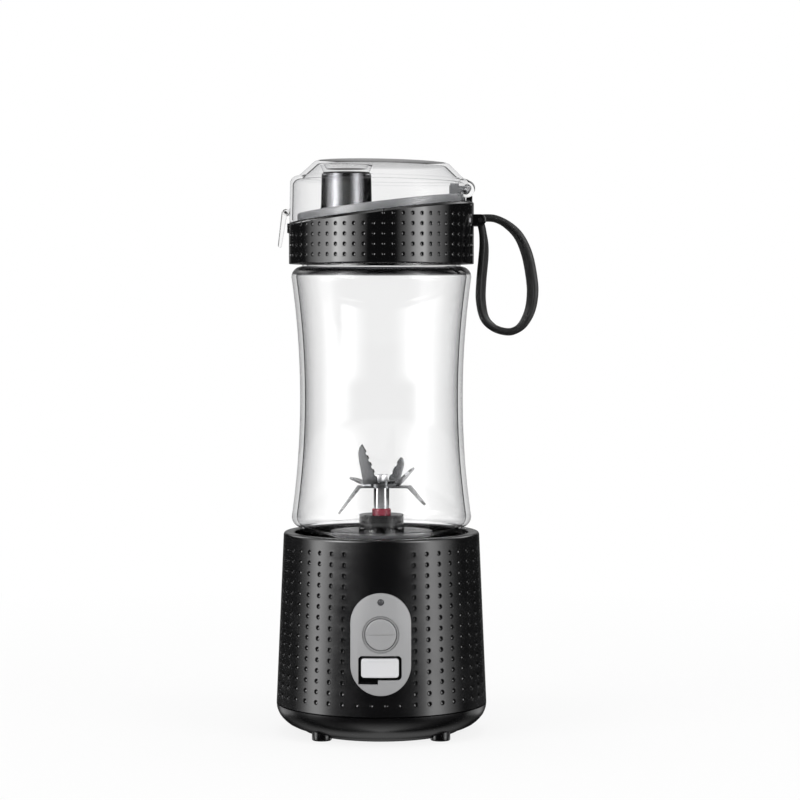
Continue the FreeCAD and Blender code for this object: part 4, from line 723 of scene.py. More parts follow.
class CUP_OT_housing(bpy.types.Operator):
    """Mould the dimpled housing of the base, with its well, tower and panel recess"""
    bl_idname = "cup.housing"
    bl_label = "Base housing"

    def execute(self, context):
        sizes = context.scene.cup_mouldings
        edge, soft, play = 0.3, 0.4, 0.1

        def wanted(angle, row):
            from_front = abs((angle - 270 + 180) % 360 - 180)
            return row == BASE_ROWS[0] or from_front > BARE_FRONT

        bm = dimpled_wall(BASE_COLUMNS, BASE_FIRST, BASE_ROWS, HOUSING_FOOT_Z + edge,
                          RIM_Z - RIM_ROUND, housing_r, wanted, sizes.base_dimple / MM,
                          sizes.base_dimple_depth / MM, 0.5)
        over = arc_points((RIM_R - RIM_ROUND, RIM_Z - RIM_ROUND), RIM_ROUND, 0, 90, 6)[1:]
        inside = run_on(bm, open_edge(bm, RIM_Z - RIM_ROUND), over + [
            (WELL_R + soft, RIM_Z), (WELL_R, RIM_Z - soft), (WELL_R, WELL_FLOOR_Z),
            (TOWER_R, WELL_FLOOR_Z), (TOWER_R, TOWER_TOP_Z - edge),
            (TOWER_R - edge, TOWER_TOP_Z), (TOWER_HOLE_R, TOWER_TOP_Z),
            (TOWER_HOLE_R, TOWER_UNDER_Z), (SHELF_R, TOWER_UNDER_Z), (SHELF_R, SHELF_Z),
            (TOWER_BORE_R, SHELF_Z), (TOWER_BORE_R, WELL_UNDER_Z),
            (housing_r(WELL_UNDER_Z) - HOUSING_WALL, WELL_UNDER_Z),
            (housing_r(HOUSING_FOOT_Z) - HOUSING_WALL, HOUSING_FOOT_Z)])
        foot = run_on(bm, open_edge(bm, HOUSING_FOOT_Z + edge),
                      [(housing_r(HOUSING_FOOT_Z) - edge, HOUSING_FOOT_Z)])
        bmesh.ops.bridge_loops(bm, edges=inside + foot)
        bmesh.ops.recalc_face_normals(bm, faces=bm.faces)
        boss = block(PORT_X - 10.1, PORT_X + 10.1, -38.9, PORT_FLOOR_Y + 1.9, PORT_Z - 8.2,
                     PORT_Z + 5.6)
        recess = cut(
            upright_slab(0, PANEL_Z, PANEL_W + 2 * play, PANEL_H + 2 * play,
                         PANEL_W / 2 + play / 2, -FAR, 0, 20),
            lathe([(0, 5), (housing_r(5) - PANEL_SUNK - play, 5),
                   (housing_r(75) - PANEL_SUNK - play, 75), (0, 75)], 256))
        socket = upright_slab(PORT_X, PORT_Z, SOCKET_W, SOCKET_H, SOCKET_H / 2 - 0.02,
                              PORT_FLOOR_Y - 1, -32)
        bm = joined(bm, boss, helix_ridges(WELL_R + 0.4, WELL_R - 2.3, 72.5, *LOWER_THREAD))
        bm = cut(bm, recess, port_opening(0, 0, -FAR, PORT_FLOOR_Y), socket,
                 rod(BUTTON_HOLE_R, 0, BUTTON_Z, -FAR, -32, 64),
                 rod(LENS_HOLE_R, 0, LENS_Z, -FAR, -32, 32))
        place_piece(bm, "dimpled_housing", "base", "black_satin_abs", "base_housing")
        return {"FINISHED"}


class CUP_OT_underside(bpy.types.Operator):
    """Mould the bowl under the base, with its bosses and screw pockets, and the four feet"""
    bl_idname = "cup.underside"
    bl_label = "Bottom bowl and feet"

    def execute(self, context):
        feet, screws, low = around(FOOT_RING_R), around(SCREW_RING_R), 2.7
        outside = [(0, 1.5), (25.0, 1.5), (25.6, 0.6), (29.6, 0.5), (31.2, 1.0), (32.2, 1.7),
                   (33.2, 2.1), (35.2, 2.8), (37.2, 3.8), (38.6, 4.9), (39.8, 6.1), (40.8, 7.4),
                   (41.4, 8.7), (41.8, 9.9), (SEAM_R, SEAM_Z)]
        inside = arc_points((31.9, SEAM_Z), 7.7, 0, -90, 12)
        bowl = lathe(outside + inside + [(0, 3.9)], 160)
        bowl = joined(bowl, *[post(FOOT_R, x, y, 1.6, 5.2) for x, y in feet],
                      *[post(BOSS_R, x, y, low, SEAM_Z) for x, y in screws],
                      *[post(BOSS_R, x, 0, low, TRAY_Z) for x in (-TRAY_X, TRAY_X)])
        bowl = cut(bowl, *[post(FOOT_R + 0.04, x, y, 0, FOOT_H) for x, y in feet],
                   *[post(SCREW_HEAD_R, x, y, 0, 3.35) for x, y in screws],
                   *[post(SCREW_R, x, y, 0, SEAM_Z + 1) for x, y in screws])
        place_piece(bowl, "bottom_bowl", "base", "black_satin_abs", "bottom_shell", sharp=24)
        place_piece(joined(*[post(FOOT_R, x, y, 0, FOOT_H - 0.04, 0.5) for x, y in feet]),
                    "round_feet", "base", "black_silicone", "rubber_feet",
                    finish="polished_nylon")
        return {"FINISHED"}


class CUP_OT_controls(bpy.types.Operator):
    """Mould the grey panel, with a stepped ring round the button, and the button with its line"""
    bl_idname = "cup.controls"
    bl_label = "Panel and button"

    def execute(self, context):
        ledge, groove, line, far = 0.12, 0.6, 0.16, 5.0
        plate = soft_front(upright_slab(0, PANEL_Z, PANEL_W, PANEL_H, PANEL_W / 2 - 0.02,
                                        -PANEL_PROUD, PANEL_SUNK, 24), 0.2)
        opening = port_opening(0.3, 0.2, -far, far)
        ring = [(0, far), (BUTTON_RING_R + 0.16, far),
                (BUTTON_RING_R + 0.16, PANEL_PROUD - groove),
                (BUTTON_RING_R - 0.16, PANEL_PROUD - groove),
                (BUTTON_RING_R - 0.2, PANEL_PROUD - ledge),
                (BUTTON_HOLE_R + 0.15, PANEL_PROUD - ledge - 0.06),
                (BUTTON_HOLE_R, PANEL_PROUD - ledge - 0.2), (BUTTON_HOLE_R, -far), (0, -far)]
        plate = cut(plate, lathe_forward(ring, BUTTON_Z),
                    rod(LENS_HOLE_R, 0, LENS_Z, -far, far, 32), opening)
        wrap_on_housing(sliced(plate, -11.25, 11.5))
        place_piece(plate, "control_plate", "base", "grey_abs", "control_panel", sharp=40)

        face, soft = PANEL_PROUD + BUTTON_PROUD, 0.45
        outline = [(0, face), (1.5, face), (3.0, face), (4.4, face),
                   *arc_points((BUTTON_R - soft, face - soft), soft, 90, 0, 6),
                   (BUTTON_R, FLANGE_Y0), (FLANGE_R, FLANGE_Y0), (FLANGE_R, FLANGE_Y1),
                   (STEM_R, FLANGE_Y1), (STEM_R, STEM_Y), (0, STEM_Y)]
        button = cut(lathe_forward(outline, BUTTON_Z),
                     block(-8, 8, -2, 0.2 - face, BUTTON_Z - line, BUTTON_Z + line))
        wrap_on_housing(sliced(button, -5.25, 5.5), behind=-3)
        place_piece(button, "push_button", "button", "grey_abs", "power_button", sharp=40)

        lens = lathe_forward([(0, 0.15), (0.6, 0.1), (1.0, -0.1), (1.25, -0.4), (1.25, -2.6),
                              (0, -2.6)], LENS_Z, 48)
        place_piece(move(lens, y=-housing_r(LENS_Z)), "smoked_lens", "base", "led_clear",
                    "indicator_lens", finish="smoked_lens")
        return {"FINISHED"}


class CUP_OT_port_cover(bpy.types.Operator):
    """Mould the pale cover of the charging port with its raised rim"""
    bl_idname = "cup.port_cover"
    bl_label = "Port cover"

    def execute(self, context):
        gap, behind, rim, sunk = 0.95, 2.3, 0.7, 0.15
        slab = soft_front(upright_slab(PORT_X, PORT_Z, PORT_W - 2 * gap, PORT_H - 2 * gap,
                                       PORT_CORNER_R - 0.4, -PANEL_PROUD, behind), 0.3)
        front = min(slab.faces, key=lambda f: f.calc_center_median().y)
        for thickness, depth in ((rim, 0), (sunk, -sunk)):
            bmesh.ops.inset_individual(slab, faces=[front], thickness=thickness * MM,
                                       depth=depth * MM, use_even_offset=True)
        wrap_on_housing(sliced(slab, PORT_X - 7.25, PORT_X + 7.5))
        place_piece(slab, "port_door", "port_flap", "port_silicone", "port_cover", sharp=40)
        return {"FINISHED"}


class CUP_OT_drive(bpy.types.Operator):
    """Turn the pedestal, its seal, the polished blade shaft and the nut on top"""
    bl_idname = "cup.drive"
    bl_label = "Pedestal and shaft"

    def execute(self, context):
        body, bore, top, soft = PEDESTAL_R, PEDESTAL_BORE_R, PEDESTAL_TOP_Z, 0.25
        pedestal = lathe([(bore, TOWER_UNDER_Z), (7.2, TOWER_UNDER_Z), (7.2, RIM_Z),
                          (body + 0.2, RIM_Z), (body + 0.2, 81.4), (body, 81.7), (body, 85.6),
                          (body - soft, 85.75), (body - soft, 85.95), (body, 86.1),
                          (body, top - soft), (body - soft, top), (3.8, top), (3.8, SEAL_Z),
                          (bore, SEAL_Z)])
        place_piece(pedestal, "turned_pedestal", "base", "black_nylon", "pedestal",
                    finish="polished_nylon")
        lip, seal_top = 0.75, top + SEAL_H
        seal = [(SHAFT_R + 0.04, 85.24), (3.74, 85.24), (3.74, top),
                *arc_points((3.05, seal_top - lip), lip, 0, 80, 8),
                (SHAFT_R + 0.04, seal_top - 0.02)]
        place_piece(lathe(seal, 64), "lip_seal", "base", "red_silicone", "shaft_seal")
        shaft = lathe([(0, SHAFT_Z), (SHAFT_R - 0.3, SHAFT_Z), (SHAFT_R, 74.35),
                       (SHAFT_R, BLADE_SEAT_Z), (STUD_R, BLADE_SEAT_Z), (STUD_R, 102.2),
                       (STUD_R - 0.3, STUD_Z), (0, STUD_Z)], 96)
        place_piece(shaft, "polished_shaft", "rotor", "polished_steel", "drive_shaft")
        nut = bmesh.new()
        bmesh.ops.create_cone(nut, cap_ends=True, segments=6, radius1=NUT_R * MM,
                              radius2=NUT_R * MM, depth=(NUT_Z1 - NUT_Z0) * MM)
        soften(move(nut, z=(NUT_Z0 + NUT_Z1) / 2), nut.edges, 0.22)
        nut = cut(nut, lathe([(0, NUT_Z0 - 1), (STUD_R + 0.05, NUT_Z0 - 1),
                              (STUD_R + 0.05, NUT_Z1 + 1), (0, NUT_Z1 + 1)], 48))
        place_piece(nut, "blade_nut_bright", "rotor", "polished_steel", "blade_nut",
                    finish="bright_nut")
        return {"FINISHED"}


def jar_side(inset):
    """(radius, height) points of the jar's waisted side, from its lower to its upper end."""
    waist_r, steps = JAR_WAIST_R - inset, 40
    half_h, pull = (JAR_SIDE_Z1 - JAR_SIDE_Z0) / 2, JAR_END_R - inset - waist_r
    bend_r = (half_h ** 2 + pull ** 2) / (2 * pull)
    middle, spread = (JAR_SIDE_Z0 + JAR_SIDE_Z1) / 2, math.asin(half_h / bend_r)
    angles = [-spread + 2 * spread * i / steps for i in range(steps + 1)]
    return [(waist_r + bend_r * (1 - math.cos(a)), middle + bend_r * math.sin(a)) for a in angles]


def jar_wall(inset):
    """Points of one face of the jar's wall, from the lower neck to the upper neck."""
    neck = NECK_R - inset
    low = arc_points((neck, JAR_SIDE_Z0), JAR_ROUND, -90, 0, 8)
    high = arc_points((neck, JAR_SIDE_Z1), JAR_ROUND, 0, 90, 8)
    return low[:-1] + jar_side(inset) + high[1:]


class CUP_OT_jar(bpy.types.Operator):
    """Blow the clear waisted jar with its two threaded necks"""
    bl_idname = "cup.jar"
    bl_label = "Jar"

    def execute(self, context):
        neck_in, soft, root = NECK_R - JAR_WALL, 0.35, NECK_R - JAR_WALL / 4
        outer = [(neck_in + soft, JAR_FOOT_Z), (NECK_R - soft, JAR_FOOT_Z),
                 (NECK_R, JAR_FOOT_Z + soft), *jar_wall(0), (NECK_R, JAR_TOP_Z - soft),
                 (NECK_R - soft, JAR_TOP_Z), (neck_in + soft, JAR_TOP_Z),
                 (neck_in, JAR_TOP_Z - soft)]
        inner = [*reversed(jar_wall(JAR_WALL)), (neck_in, JAR_FOOT_Z + soft)]
        bm = joined(lathe(outer + inner, 144),
                    helix_ridges(root, NECK_R + 1.7, 70.0, *LOWER_THREAD),
                    helix_ridges(root, NECK_R + 1.5, 190.8, *UPPER_THREAD))
        place_piece(bm, "clear_jar", "jar_body", "clear_tritan", "jar")
        return {"FINISHED"}


class CUP_OT_ring(bpy.types.Operator):
    """Mould the dimpled ring of the cap, with its web, catch, hinge cradle and strap ears"""
    bl_idname = "cup.ring"
    bl_label = "Cap ring"

    def execute(self, context):
        sizes = context.scene.cup_mouldings
        edge, crest, drop = 0.4, 1.7, 0.6
        foot_z = CAP_Z0 + edge + 0.2

        def wanted(angle, row):
            x = CAP_R * math.cos(math.radians(angle))
            y = CAP_R * math.sin(math.radians(angle))
            near_catch = x < 0 and abs(y) < 3.6 and 197 < row < 204
            near_ears = x > 0 and abs(y) < 7 and 199 < row < 208
            near_cradle = x > 0 and abs(y) < 8.4 and row > 208
            return row < slant_z(x, 2.25) and not (near_catch or near_ears or near_cradle)

        bm = dimpled_wall(RING_COLUMNS, RING_FIRST, RING_ROWS, foot_z, 216.0, lambda z: CAP_R,
                          wanted, sizes.ring_dimple / MM, sizes.ring_dimple_depth / MM, 0.35)
        slope = math.radians(CAP_SLANT)
        bmesh.ops.bisect_plane(bm, geom=bm.verts[:] + bm.edges[:] + bm.faces[:], dist=1e-7,
                               plane_co=(0, 0, (CAP_MID_Z - crest) * MM),
                               plane_no=(-math.sin(slope), 0, math.cos(slope)),
                               clear_outer=True)
        web = run_on(bm, open_edge(bm, lambda x: slant_z(x, crest)), [
            (CAP_R - 0.75, lambda x: slant_z(x, drop + 0.08)),
            (CAP_R - 0.9, lambda x: slant_z(x, drop)),
            (CAP_BORE_R + 0.2, lambda x: slant_z(x, drop)),
            (CAP_BORE_R, lambda x: slant_z(x, drop + 0.2)),
            (CAP_BORE_R, WEB_Z1), (0.5, WEB_Z1)])
        under = run_on(bm, open_edge(bm, foot_z),
                       arc_points((CAP_R - edge, CAP_Z0 + edge), edge, 0, -90, 4)
                       + [(CAP_BORE_R, CAP_Z0), (CAP_BORE_R, WEB_Z0), (0.5, WEB_Z0)])
        for middle in (web, under):
            bmesh.ops.contextual_create(bm, geom=middle)
        bmesh.ops.recalc_face_normals(bm, faces=bm.faces)
        cradle_top, cradle_y = 213.6, HINGE_HALF_W - SLIP
        cradle = block(33.75, 36.0, -cradle_y, cradle_y, WEB_Z1 - 0.5, cradle_top, 0.25)
        catch = block(-CAP_R - 0.6, -CAP_R + 1.3, -2.6, 2.6, 198.8, 202.6, 0.25)
        beside = STRAP_W / 2 + SLIP
        ears = [joined(block(CAP_BORE_R + 1.3, STRAP_PIN_X, y0, y1, STRAP_PIN_Z - STRAP_EYE_R,
                             STRAP_PIN_Z + STRAP_EYE_R, 0.3),
                       rod(STRAP_EYE_R, STRAP_PIN_X, STRAP_PIN_Z, y0, y1, 32, 0.3))
                for y0, y1 in both_sides(beside, beside + STRAP_EAR_T)]
        ridges = helix_ridges(CAP_R - 1.3, CAP_BORE_R - 2.0, 188.8, *UPPER_THREAD)
        bm = cut(joined(bm, cradle, catch, *ears, ridges),
                 post(SPOUT_BORE_R, SPOUT_X, 0, WEB_Z0 - 1, WEB_Z1 + 1, steps=64),
                 rod(HINGE_R + SLIP, HINGE_X, HINGE_Z, -CAP_R, CAP_R, 64),
                 rod(STRAP_PIN_R, STRAP_PIN_X, STRAP_PIN_Z, -CAP_R, CAP_R, 24))
        place_piece(bm, "dimpled_ring", "cap", "black_gloss_abs", "cap_ring")
        return {"FINISHED"}


class CUP_OT_deck(bpy.types.Operator):
    """Mould the grey dished deck under the cover, with the two arms that hold the hinge pin"""
    bl_idname = "cup.deck"
    bl_label = "Cap deck"

    def execute(self, context):
        high, room_r, foot = 225, DECK_R - DECK_T, slant_z(CHEEK_FOOT_X) + 0.4
        deck = cut(post(DECK_R, 0, 0, WEB_Z1, high, steps=144), slanted(DECK_RIM, True))
        lid = max(deck.faces, key=lambda f: f.calc_area() * f.normal.z)
        soften(deck, lid.edges, 0.55, clamp=False)
        deck = cut(deck, cut(post(room_r, 0, 0, WEB_Z1 - 1, high, steps=144),
                             slanted(DECK_RISE - DECK_T, True)),
                   cut(post(room_r, 0, 0, WEB_Z1, high, steps=144), slanted(DECK_RISE, False)))
        beside = HINGE_HALF_W + SLIP
        side = ((CHEEK_FOOT_X, foot), (CHEEK_FOOT_X, HINGE_Z + 2.0), (30.4, HINGE_Z + 2.0),
                (30.9, HINGE_Z - 0.4), (32.0, foot))
        for y0, y1 in both_sides(beside, beside + CHEEK_T):
            deck = joined(deck, prism([(x * MM, y0 * MM, z * MM) for x, z in side], y1 - y0),
                          block(30.0, HINGE_X, y0, y1, HINGE_Z - 0.9, HINGE_Z + 0.9),
                          rod(1.6, HINGE_X, HINGE_Z, y0, y1, 40, 0.2))
        deck = cut(deck, rod(HINGE_R + SLIP, HINGE_X, HINGE_Z, -beside, beside, 64),
                   post(SPOUT_FOOT_R + 0.03, SPOUT_X, 0, WEB_Z1 - 2, high, steps=96),
                   rod(1.03, HINGE_X, HINGE_Z, -CAP_R, CAP_R, 32))
        place_piece(deck, "dished_deck", "cap", "deck_grey_abs", "cap_deck")
        return {"FINISHED"}


class CUP_OT_spout(bpy.types.Operator):
    """Turn the drinking spout with its rolled lip"""
    bl_idname = "cup.spout"
    bl_label = "Spout"

    def execute(self, context):
        lip = 0.8
        outline = [(SPOUT_BORE_R, WEB_Z1), (SPOUT_FOOT_R, WEB_Z1), (SPOUT_FOOT_R, WEB_Z1 + 6),
                   (SPOUT_R + 0.2, WEB_Z1 + 9),
                   *arc_points((SPOUT_R - lip, SPOUT_TOP_Z - lip), lip, 0, 180, 12)]
        place_piece(lathe(outline, 128, SPOUT_X), "drinking_spout", "cap", "spout_chrome",
                    "spout")
        return {"FINISHED"}


def dome(inset, foot):
    """The flip cover's outer form, or its inner one, standing on an open foot."""
    r, shoulder = COVER_R - inset, COVER_SHOULDER_Z - inset
    cone_r, top_r, top = COVER_CONE_R - inset, COVER_TOP_R - inset, COVER_TOP_Z - inset
    round_r, soft = COVER_ROUND - inset * 0.4, 1.6
    lift = math.degrees(math.atan2(top - shoulder, cone_r - top_r))
    reach = soft * math.tan(math.radians(lift / 2))
    points = [(0, foot), (r, foot),
              *arc_points((r - round_r, shoulder - round_r), round_r, 0, 90, 8),
              (cone_r, shoulder),
              *arc_points((top_r - reach, top - soft), soft, 90 - lift, 90, 5), (0, top)]
    bm = lathe([p for i, p in enumerate(points) if i == 0 or math.dist(p, points[i - 1]) > 0.02],
               144)
    return turn(bm, COVER_TILT, "Y", HINGE_Z)


class CUP_OT_cover(bpy.types.Operator):
    """Mould the clear flip cover with its plug, hinge barrel and latch ears"""
    bl_idname = "cup.cover"
    bl_label = "Flip cover"

    def execute(self, context):
        foot, edge = slant_z(-CAP_R) - 5, 0.3
        notch_y = HINGE_HALF_W + CHEEK_T + 2 * SLIP
        shell = cut(dome(0, foot), dome(COVER_WALL, foot - 1),
                    block(CHEEK_FOOT_X - SLIP, CAP_R + 5, -notch_y, notch_y, foot - 5,
                          HINGE_Z + HINGE_R + SLIP, 0.5),
                    block(CHEEK_FOOT_X + COVER_WALL, CAP_R + 5, -CAP_R, CAP_R, foot - 5,
                          HINGE_Z - 2.0))
        plug_top = COVER_TOP_Z - edge
        plug = lathe([(0, PLUG_Z), (PLUG_R - edge, PLUG_Z), (PLUG_R, PLUG_Z + edge),
                      (PLUG_TOP_R, plug_top), (PLUG_TOP_R - PLUG_WALL, plug_top),
                      (PLUG_R - PLUG_WALL, PLUG_Z + PLUG_WALL), (0, PLUG_Z + PLUG_WALL)], 96,
                     SPOUT_X)
        plug = combine(plug, dome(0.2, foot), "INTERSECT")
        bridge = combine(block(HINGE_X - HINGE_R, HINGE_X + HINGE_R / 2, -HINGE_HALF_W,
                               HINGE_HALF_W, HINGE_Z, COVER_SHOULDER_Z + 5), dome(0.1, foot),
                         "INTERSECT")
        barrel = rod(HINGE_R, HINGE_X, HINGE_Z, -HINGE_HALF_W, HINGE_HALF_W, 64, 0.4)
        beside = LATCH_HALF_W + SLIP
        ears = [cut(joined(rod(LATCH_BARREL_R, LATCH_X, LATCH_Z, y0, y1, 32, 0.2),
                           block(LATCH_X, -COVER_R + 2.0, y0, y1, LATCH_Z - LATCH_BARREL_R,
                                 LATCH_Z + LATCH_BARREL_R)),
                    dome(COVER_WALL * 0.6, foot - 1))
                for y0, y1 in both_sides(beside, beside + LATCH_EAR_T)]
        shell = joined(shell, plug, bridge, barrel, *ears)
        hinge_room = block(HINGE_X - HINGE_R - SLIP, 80, -HINGE_HALF_W - SLIP,
                           HINGE_HALF_W + SLIP, 100, HINGE_Z)
        latch_room = block(-80, -CAP_R + 1.0, -10, 10, 100, LATCH_Z + 3)
        shell = cut(shell, cut(slanted(-0.15, False), hinge_room, latch_room),
                    rod(1.05, HINGE_X, HINGE_Z, -CAP_R, CAP_R, 32),
                    rod(LATCH_PIN_R, LATCH_X, LATCH_Z, -CAP_R, CAP_R, 24))
        place_piece(shell, "clear_cover", "cover", "clear_cover", "flip_cover")
        return {"FINISHED"}


class CUP_OT_latch(bpy.types.Operator):
    """Mould the clear latch tab with its barrel and rounded corners"""
    bl_idname = "cup.latch"
    bl_label = "Latch"

    def execute(self, context):
        run = Vector((LATCH_TIP_X - LATCH_X, 0, LATCH_TIP_Z - LATCH_Z))
        across = Vector((run.z, 0, -run.x)).normalized() * LATCH_T / 2
        start = Vector((LATCH_X, -LATCH_HALF_W, LATCH_Z)) + across * 0.6
        end = Vector((LATCH_TIP_X, -LATCH_HALF_W, LATCH_TIP_Z))
        tab = prism([corner * MM for corner in (start + across, start - across,
                     end - across * 0.6, end + across * 0.6)], 2 * LATCH_HALF_W)
        low, neck = (LATCH_TIP_Z + 2) * MM, (LATCH_Z - 1) * MM
        soften(tab, [e for e in tab.edges if all(v.co.z < low for v in e.verts)
                     and along_y(e) < 1e-3], 1.4, 6, clamp=False)
        soften(tab, [e for e in tab.edges if e.calc_face_angle(0) > 0.9
                     and not all(v.co.z > neck for v in e.verts)], 0.35)
        bm = cut(joined(tab, rod(LATCH_BARREL_R, LATCH_X, LATCH_Z, -LATCH_HALF_W, LATCH_HALF_W,
                                 48, 0.15)),
                 rod(LATCH_PIN_R, LATCH_X, LATCH_Z, -CAP_R, CAP_R, 24))
        place_piece(bm, "clear_latch", "latch_tab", "clear_cover", "latch")
        return {"FINISHED"}


def strap_run(share):
    """Place, run direction and twist of the strap at a share of its length."""
    last = len(STRAP_LINE) - 1
    at = min(int(share * last), last - 1)
    t = share * last - at
    p = [Vector(STRAP_LINE[max(0, min(last, at + k))]) for k in (-1, 0, 1, 2)]
    value = 0.5 * ((2 * p[1]) + (p[2] - p[0]) * t + (2 * p[0] - 5 * p[1] + 4 * p[2] - p[3]) * t ** 2
                   + (3 * p[1] - p[0] - 3 * p[2] + p[3]) * t ** 3)
    slope = 0.5 * ((p[2] - p[0]) + 2 * (2 * p[0] - 5 * p[1] + 4 * p[2] - p[3]) * t
                   + 3 * (3 * p[1] - p[0] - 3 * p[2] + p[3]) * t ** 2)
    return value, Vector((slope.x, 0, -slope.y)).normalized()


class CUP_OT_strap(bpy.types.Operator):
    """Mould the rubber carry strap as one twisted band with a ridge down its middle"""
    bl_idname = "cup.strap"
    bl_label = "Strap"

    def execute(self, context):
        bm = bmesh.new()
        thin, wide, steps, sideways = STRAP_T / 2, STRAP_W / 2, 150, Vector((0, 1, 0))
        quarter = list(STRAP_EDGE)
        section = [(a, -b) for a, b in quarter] + quarter[::-1] + \
            [(-a, b) for a, b in quarter] + [(-a, -b) for a, b in quarter[::-1]]
        section = section[-1:] + section[:-1]    # it starts at the lower left corner
        face = bm.faces.new([bm.verts.new((a * thin * MM, b * wide * MM, 0)) for a, b in section])
        flat = [v.co.copy() for v in face.verts]
        for i in range(steps + 1):
            value, run = strap_run(i / steps)
            across = Vector((-run.z, 0, run.x))
            twist = math.radians(value.z)
            thin_way = across * math.cos(twist) + sideways * math.sin(twist)
            wide_way = sideways * math.cos(twist) - across * math.sin(twist)
            middle = Vector((STRAP_PIN_X + value.x, 0, STRAP_PIN_Z - value.y)) * MM
            if i:
                grown = bmesh.ops.extrude_face_region(bm, geom=[face])["geom"]
                behind = face
                face = next(g for g in grown if isinstance(g, bmesh.types.BMFace))
                if i > 1 and behind.is_valid:
                    bmesh.ops.delete(bm, geom=[behind], context="FACES_ONLY")
            for vert, spot in zip(face.verts, flat):
                vert.co = middle + thin_way * spot.x + wide_way * spot.y
        bmesh.ops.recalc_face_normals(bm, faces=bm.faces)
        eye = rod(STRAP_EYE_R, STRAP_PIN_X, STRAP_PIN_Z, -wide, wide, 48, 0.3)
        bm = cut(joined(bm, eye), rod(STRAP_PIN_R, STRAP_PIN_X, STRAP_PIN_Z, -20, 20, 24))
        place_piece(bm, "rubber_strap", "strap_loop", "black_silicone", "strap", sharp=50)
        return {"FINISHED"}


# ------------------------------------------------------------ stage
STUDIO_R, STUDIO_MIDDLE_Z, FLOOR_R = 1.1, 0.12, 6.0      # metres, as all places of the stage
CAMERA_AT, CAMERA_AIM, LENS = (0.0074, -0.992, 0.1724), (0.0074, 0.0, 0.1324), 112.0
LAMPS = (("window_left", (-1.0, -0.75, 0.7), 6.3), ("window_right", (1.0, -0.75, 0.7), 5.6),
         ("window_top", (0.0, -0.1, 1.3), 4.2))
# Brightness of the studio seen in gloss, by degrees round from the front.
TALL_WINDOWS = ((-180, 0.42), (-172, 0.42), (-150, 0.02), (-107, 0.03), (-98, 0.9),
                (-78, 3.4), (-64, 6.0), (-56, 12.0), (-45, 8.0), (-33, 3.0), (-20, 0.6),
                (-17, 0.02), (18, 0.02), (26, 1.0), (36, 3.2), (44, 6.5), (54, 8.2), (61, 3.4),
                (78, 1.5), (89, 0.3), (92, 0.02), (150, 0.02), (172, 0.42), (180, 0.42))
LOW_WINDOWS = ((-180, 0.2), (-150, 0.02), (-106, 0.05), (-92, 0.9), (-80, 4.6), (-71, 5.2),
               (-60, 1.8), (-52, 0.3), (-42, 0.05), (-20, 0.05), (-16, 0.02), (18, 0.02),
               (24, 0.05), (36, 0.1), (46, 1.2), (56, 4.6), (65, 3.9), (76, 1.7), (90, 0.35),
               (97, 0.04), (150, 0.02), (180, 0.2))
BACK_WINDOWS = ((105, 0.0), (120, 3.0), (140, 3.0), (155, 0.0))


def between(table, at):
    """Value at a place in a table of (place, value) pairs, in a straight line between them."""
    for (x0, y0), (x1, y1) in zip(table, table[1:]):
        if at <= x1:
            return y0 + (y1 - y0) * max(0.0, at - x0) / (x1 - x0)
    return table[-1][1]


def studio_glow(azimuth, lift, level):
    """Brightness of the studio in a direction in degrees that meets it level metres up."""
    tall = between(((0.125, 0), (0.165, 1)), level)
    front = between(TALL_WINDOWS, azimuth) * tall + between(LOW_WINDOWS, azimuth) * (1 - tall)
    back = between(BACK_WINDOWS, abs(azimuth)) * between(((14, 0), (24, 1)), abs(lift))
    upright = between(((-28, 0.04), (-13, 1), (32, 1), (55, 0.15)), lift)
    below = max(between(((30, 1), (65, 0)), abs(azimuth)),
                between(((115, 0), (150, 0.6)), abs(azimuth)))
    floor = between(((-80, 1.3), (-34, 0.0)), lift) * below
    return (front + back) * upright + floor + between(((60, 0.0), (78, 0.8)), lift)


def seen(tree):
    """1 for camera, glossy and transmission rays, which see the plain white background."""
    path = add(tree, "ShaderNodeLightPath").outputs
    first = add(tree, "ShaderNodeMath", {0: path["Is Camera Ray"], 1: path["Is Glossy Ray"]},
                operation="MAXIMUM")
    return add(tree, "ShaderNodeMath", {0: first.outputs[0], 1: path["Is Transmission Ray"]},
               operation="MAXIMUM").outputs[0]


def shade_by(tree, share, first, second, output="ShaderNodeOutputMaterial"):
    """Show one shader or the other by a share."""
    both = add(tree, "ShaderNodeMixShader", {0: share, 1: first.outputs[0], 2: second.outputs[0]})
    add(tree, output, {"Surface": both.outputs[0]})


def aimed(thing, place, aim):
    """Put a lamp or camera at a place and point it at another."""
    thing.location = place
    way = Vector(aim) - Vector(place)
    thing.rotation_euler = way.to_track_quat("-Z", "Y").to_euler()
    return thing


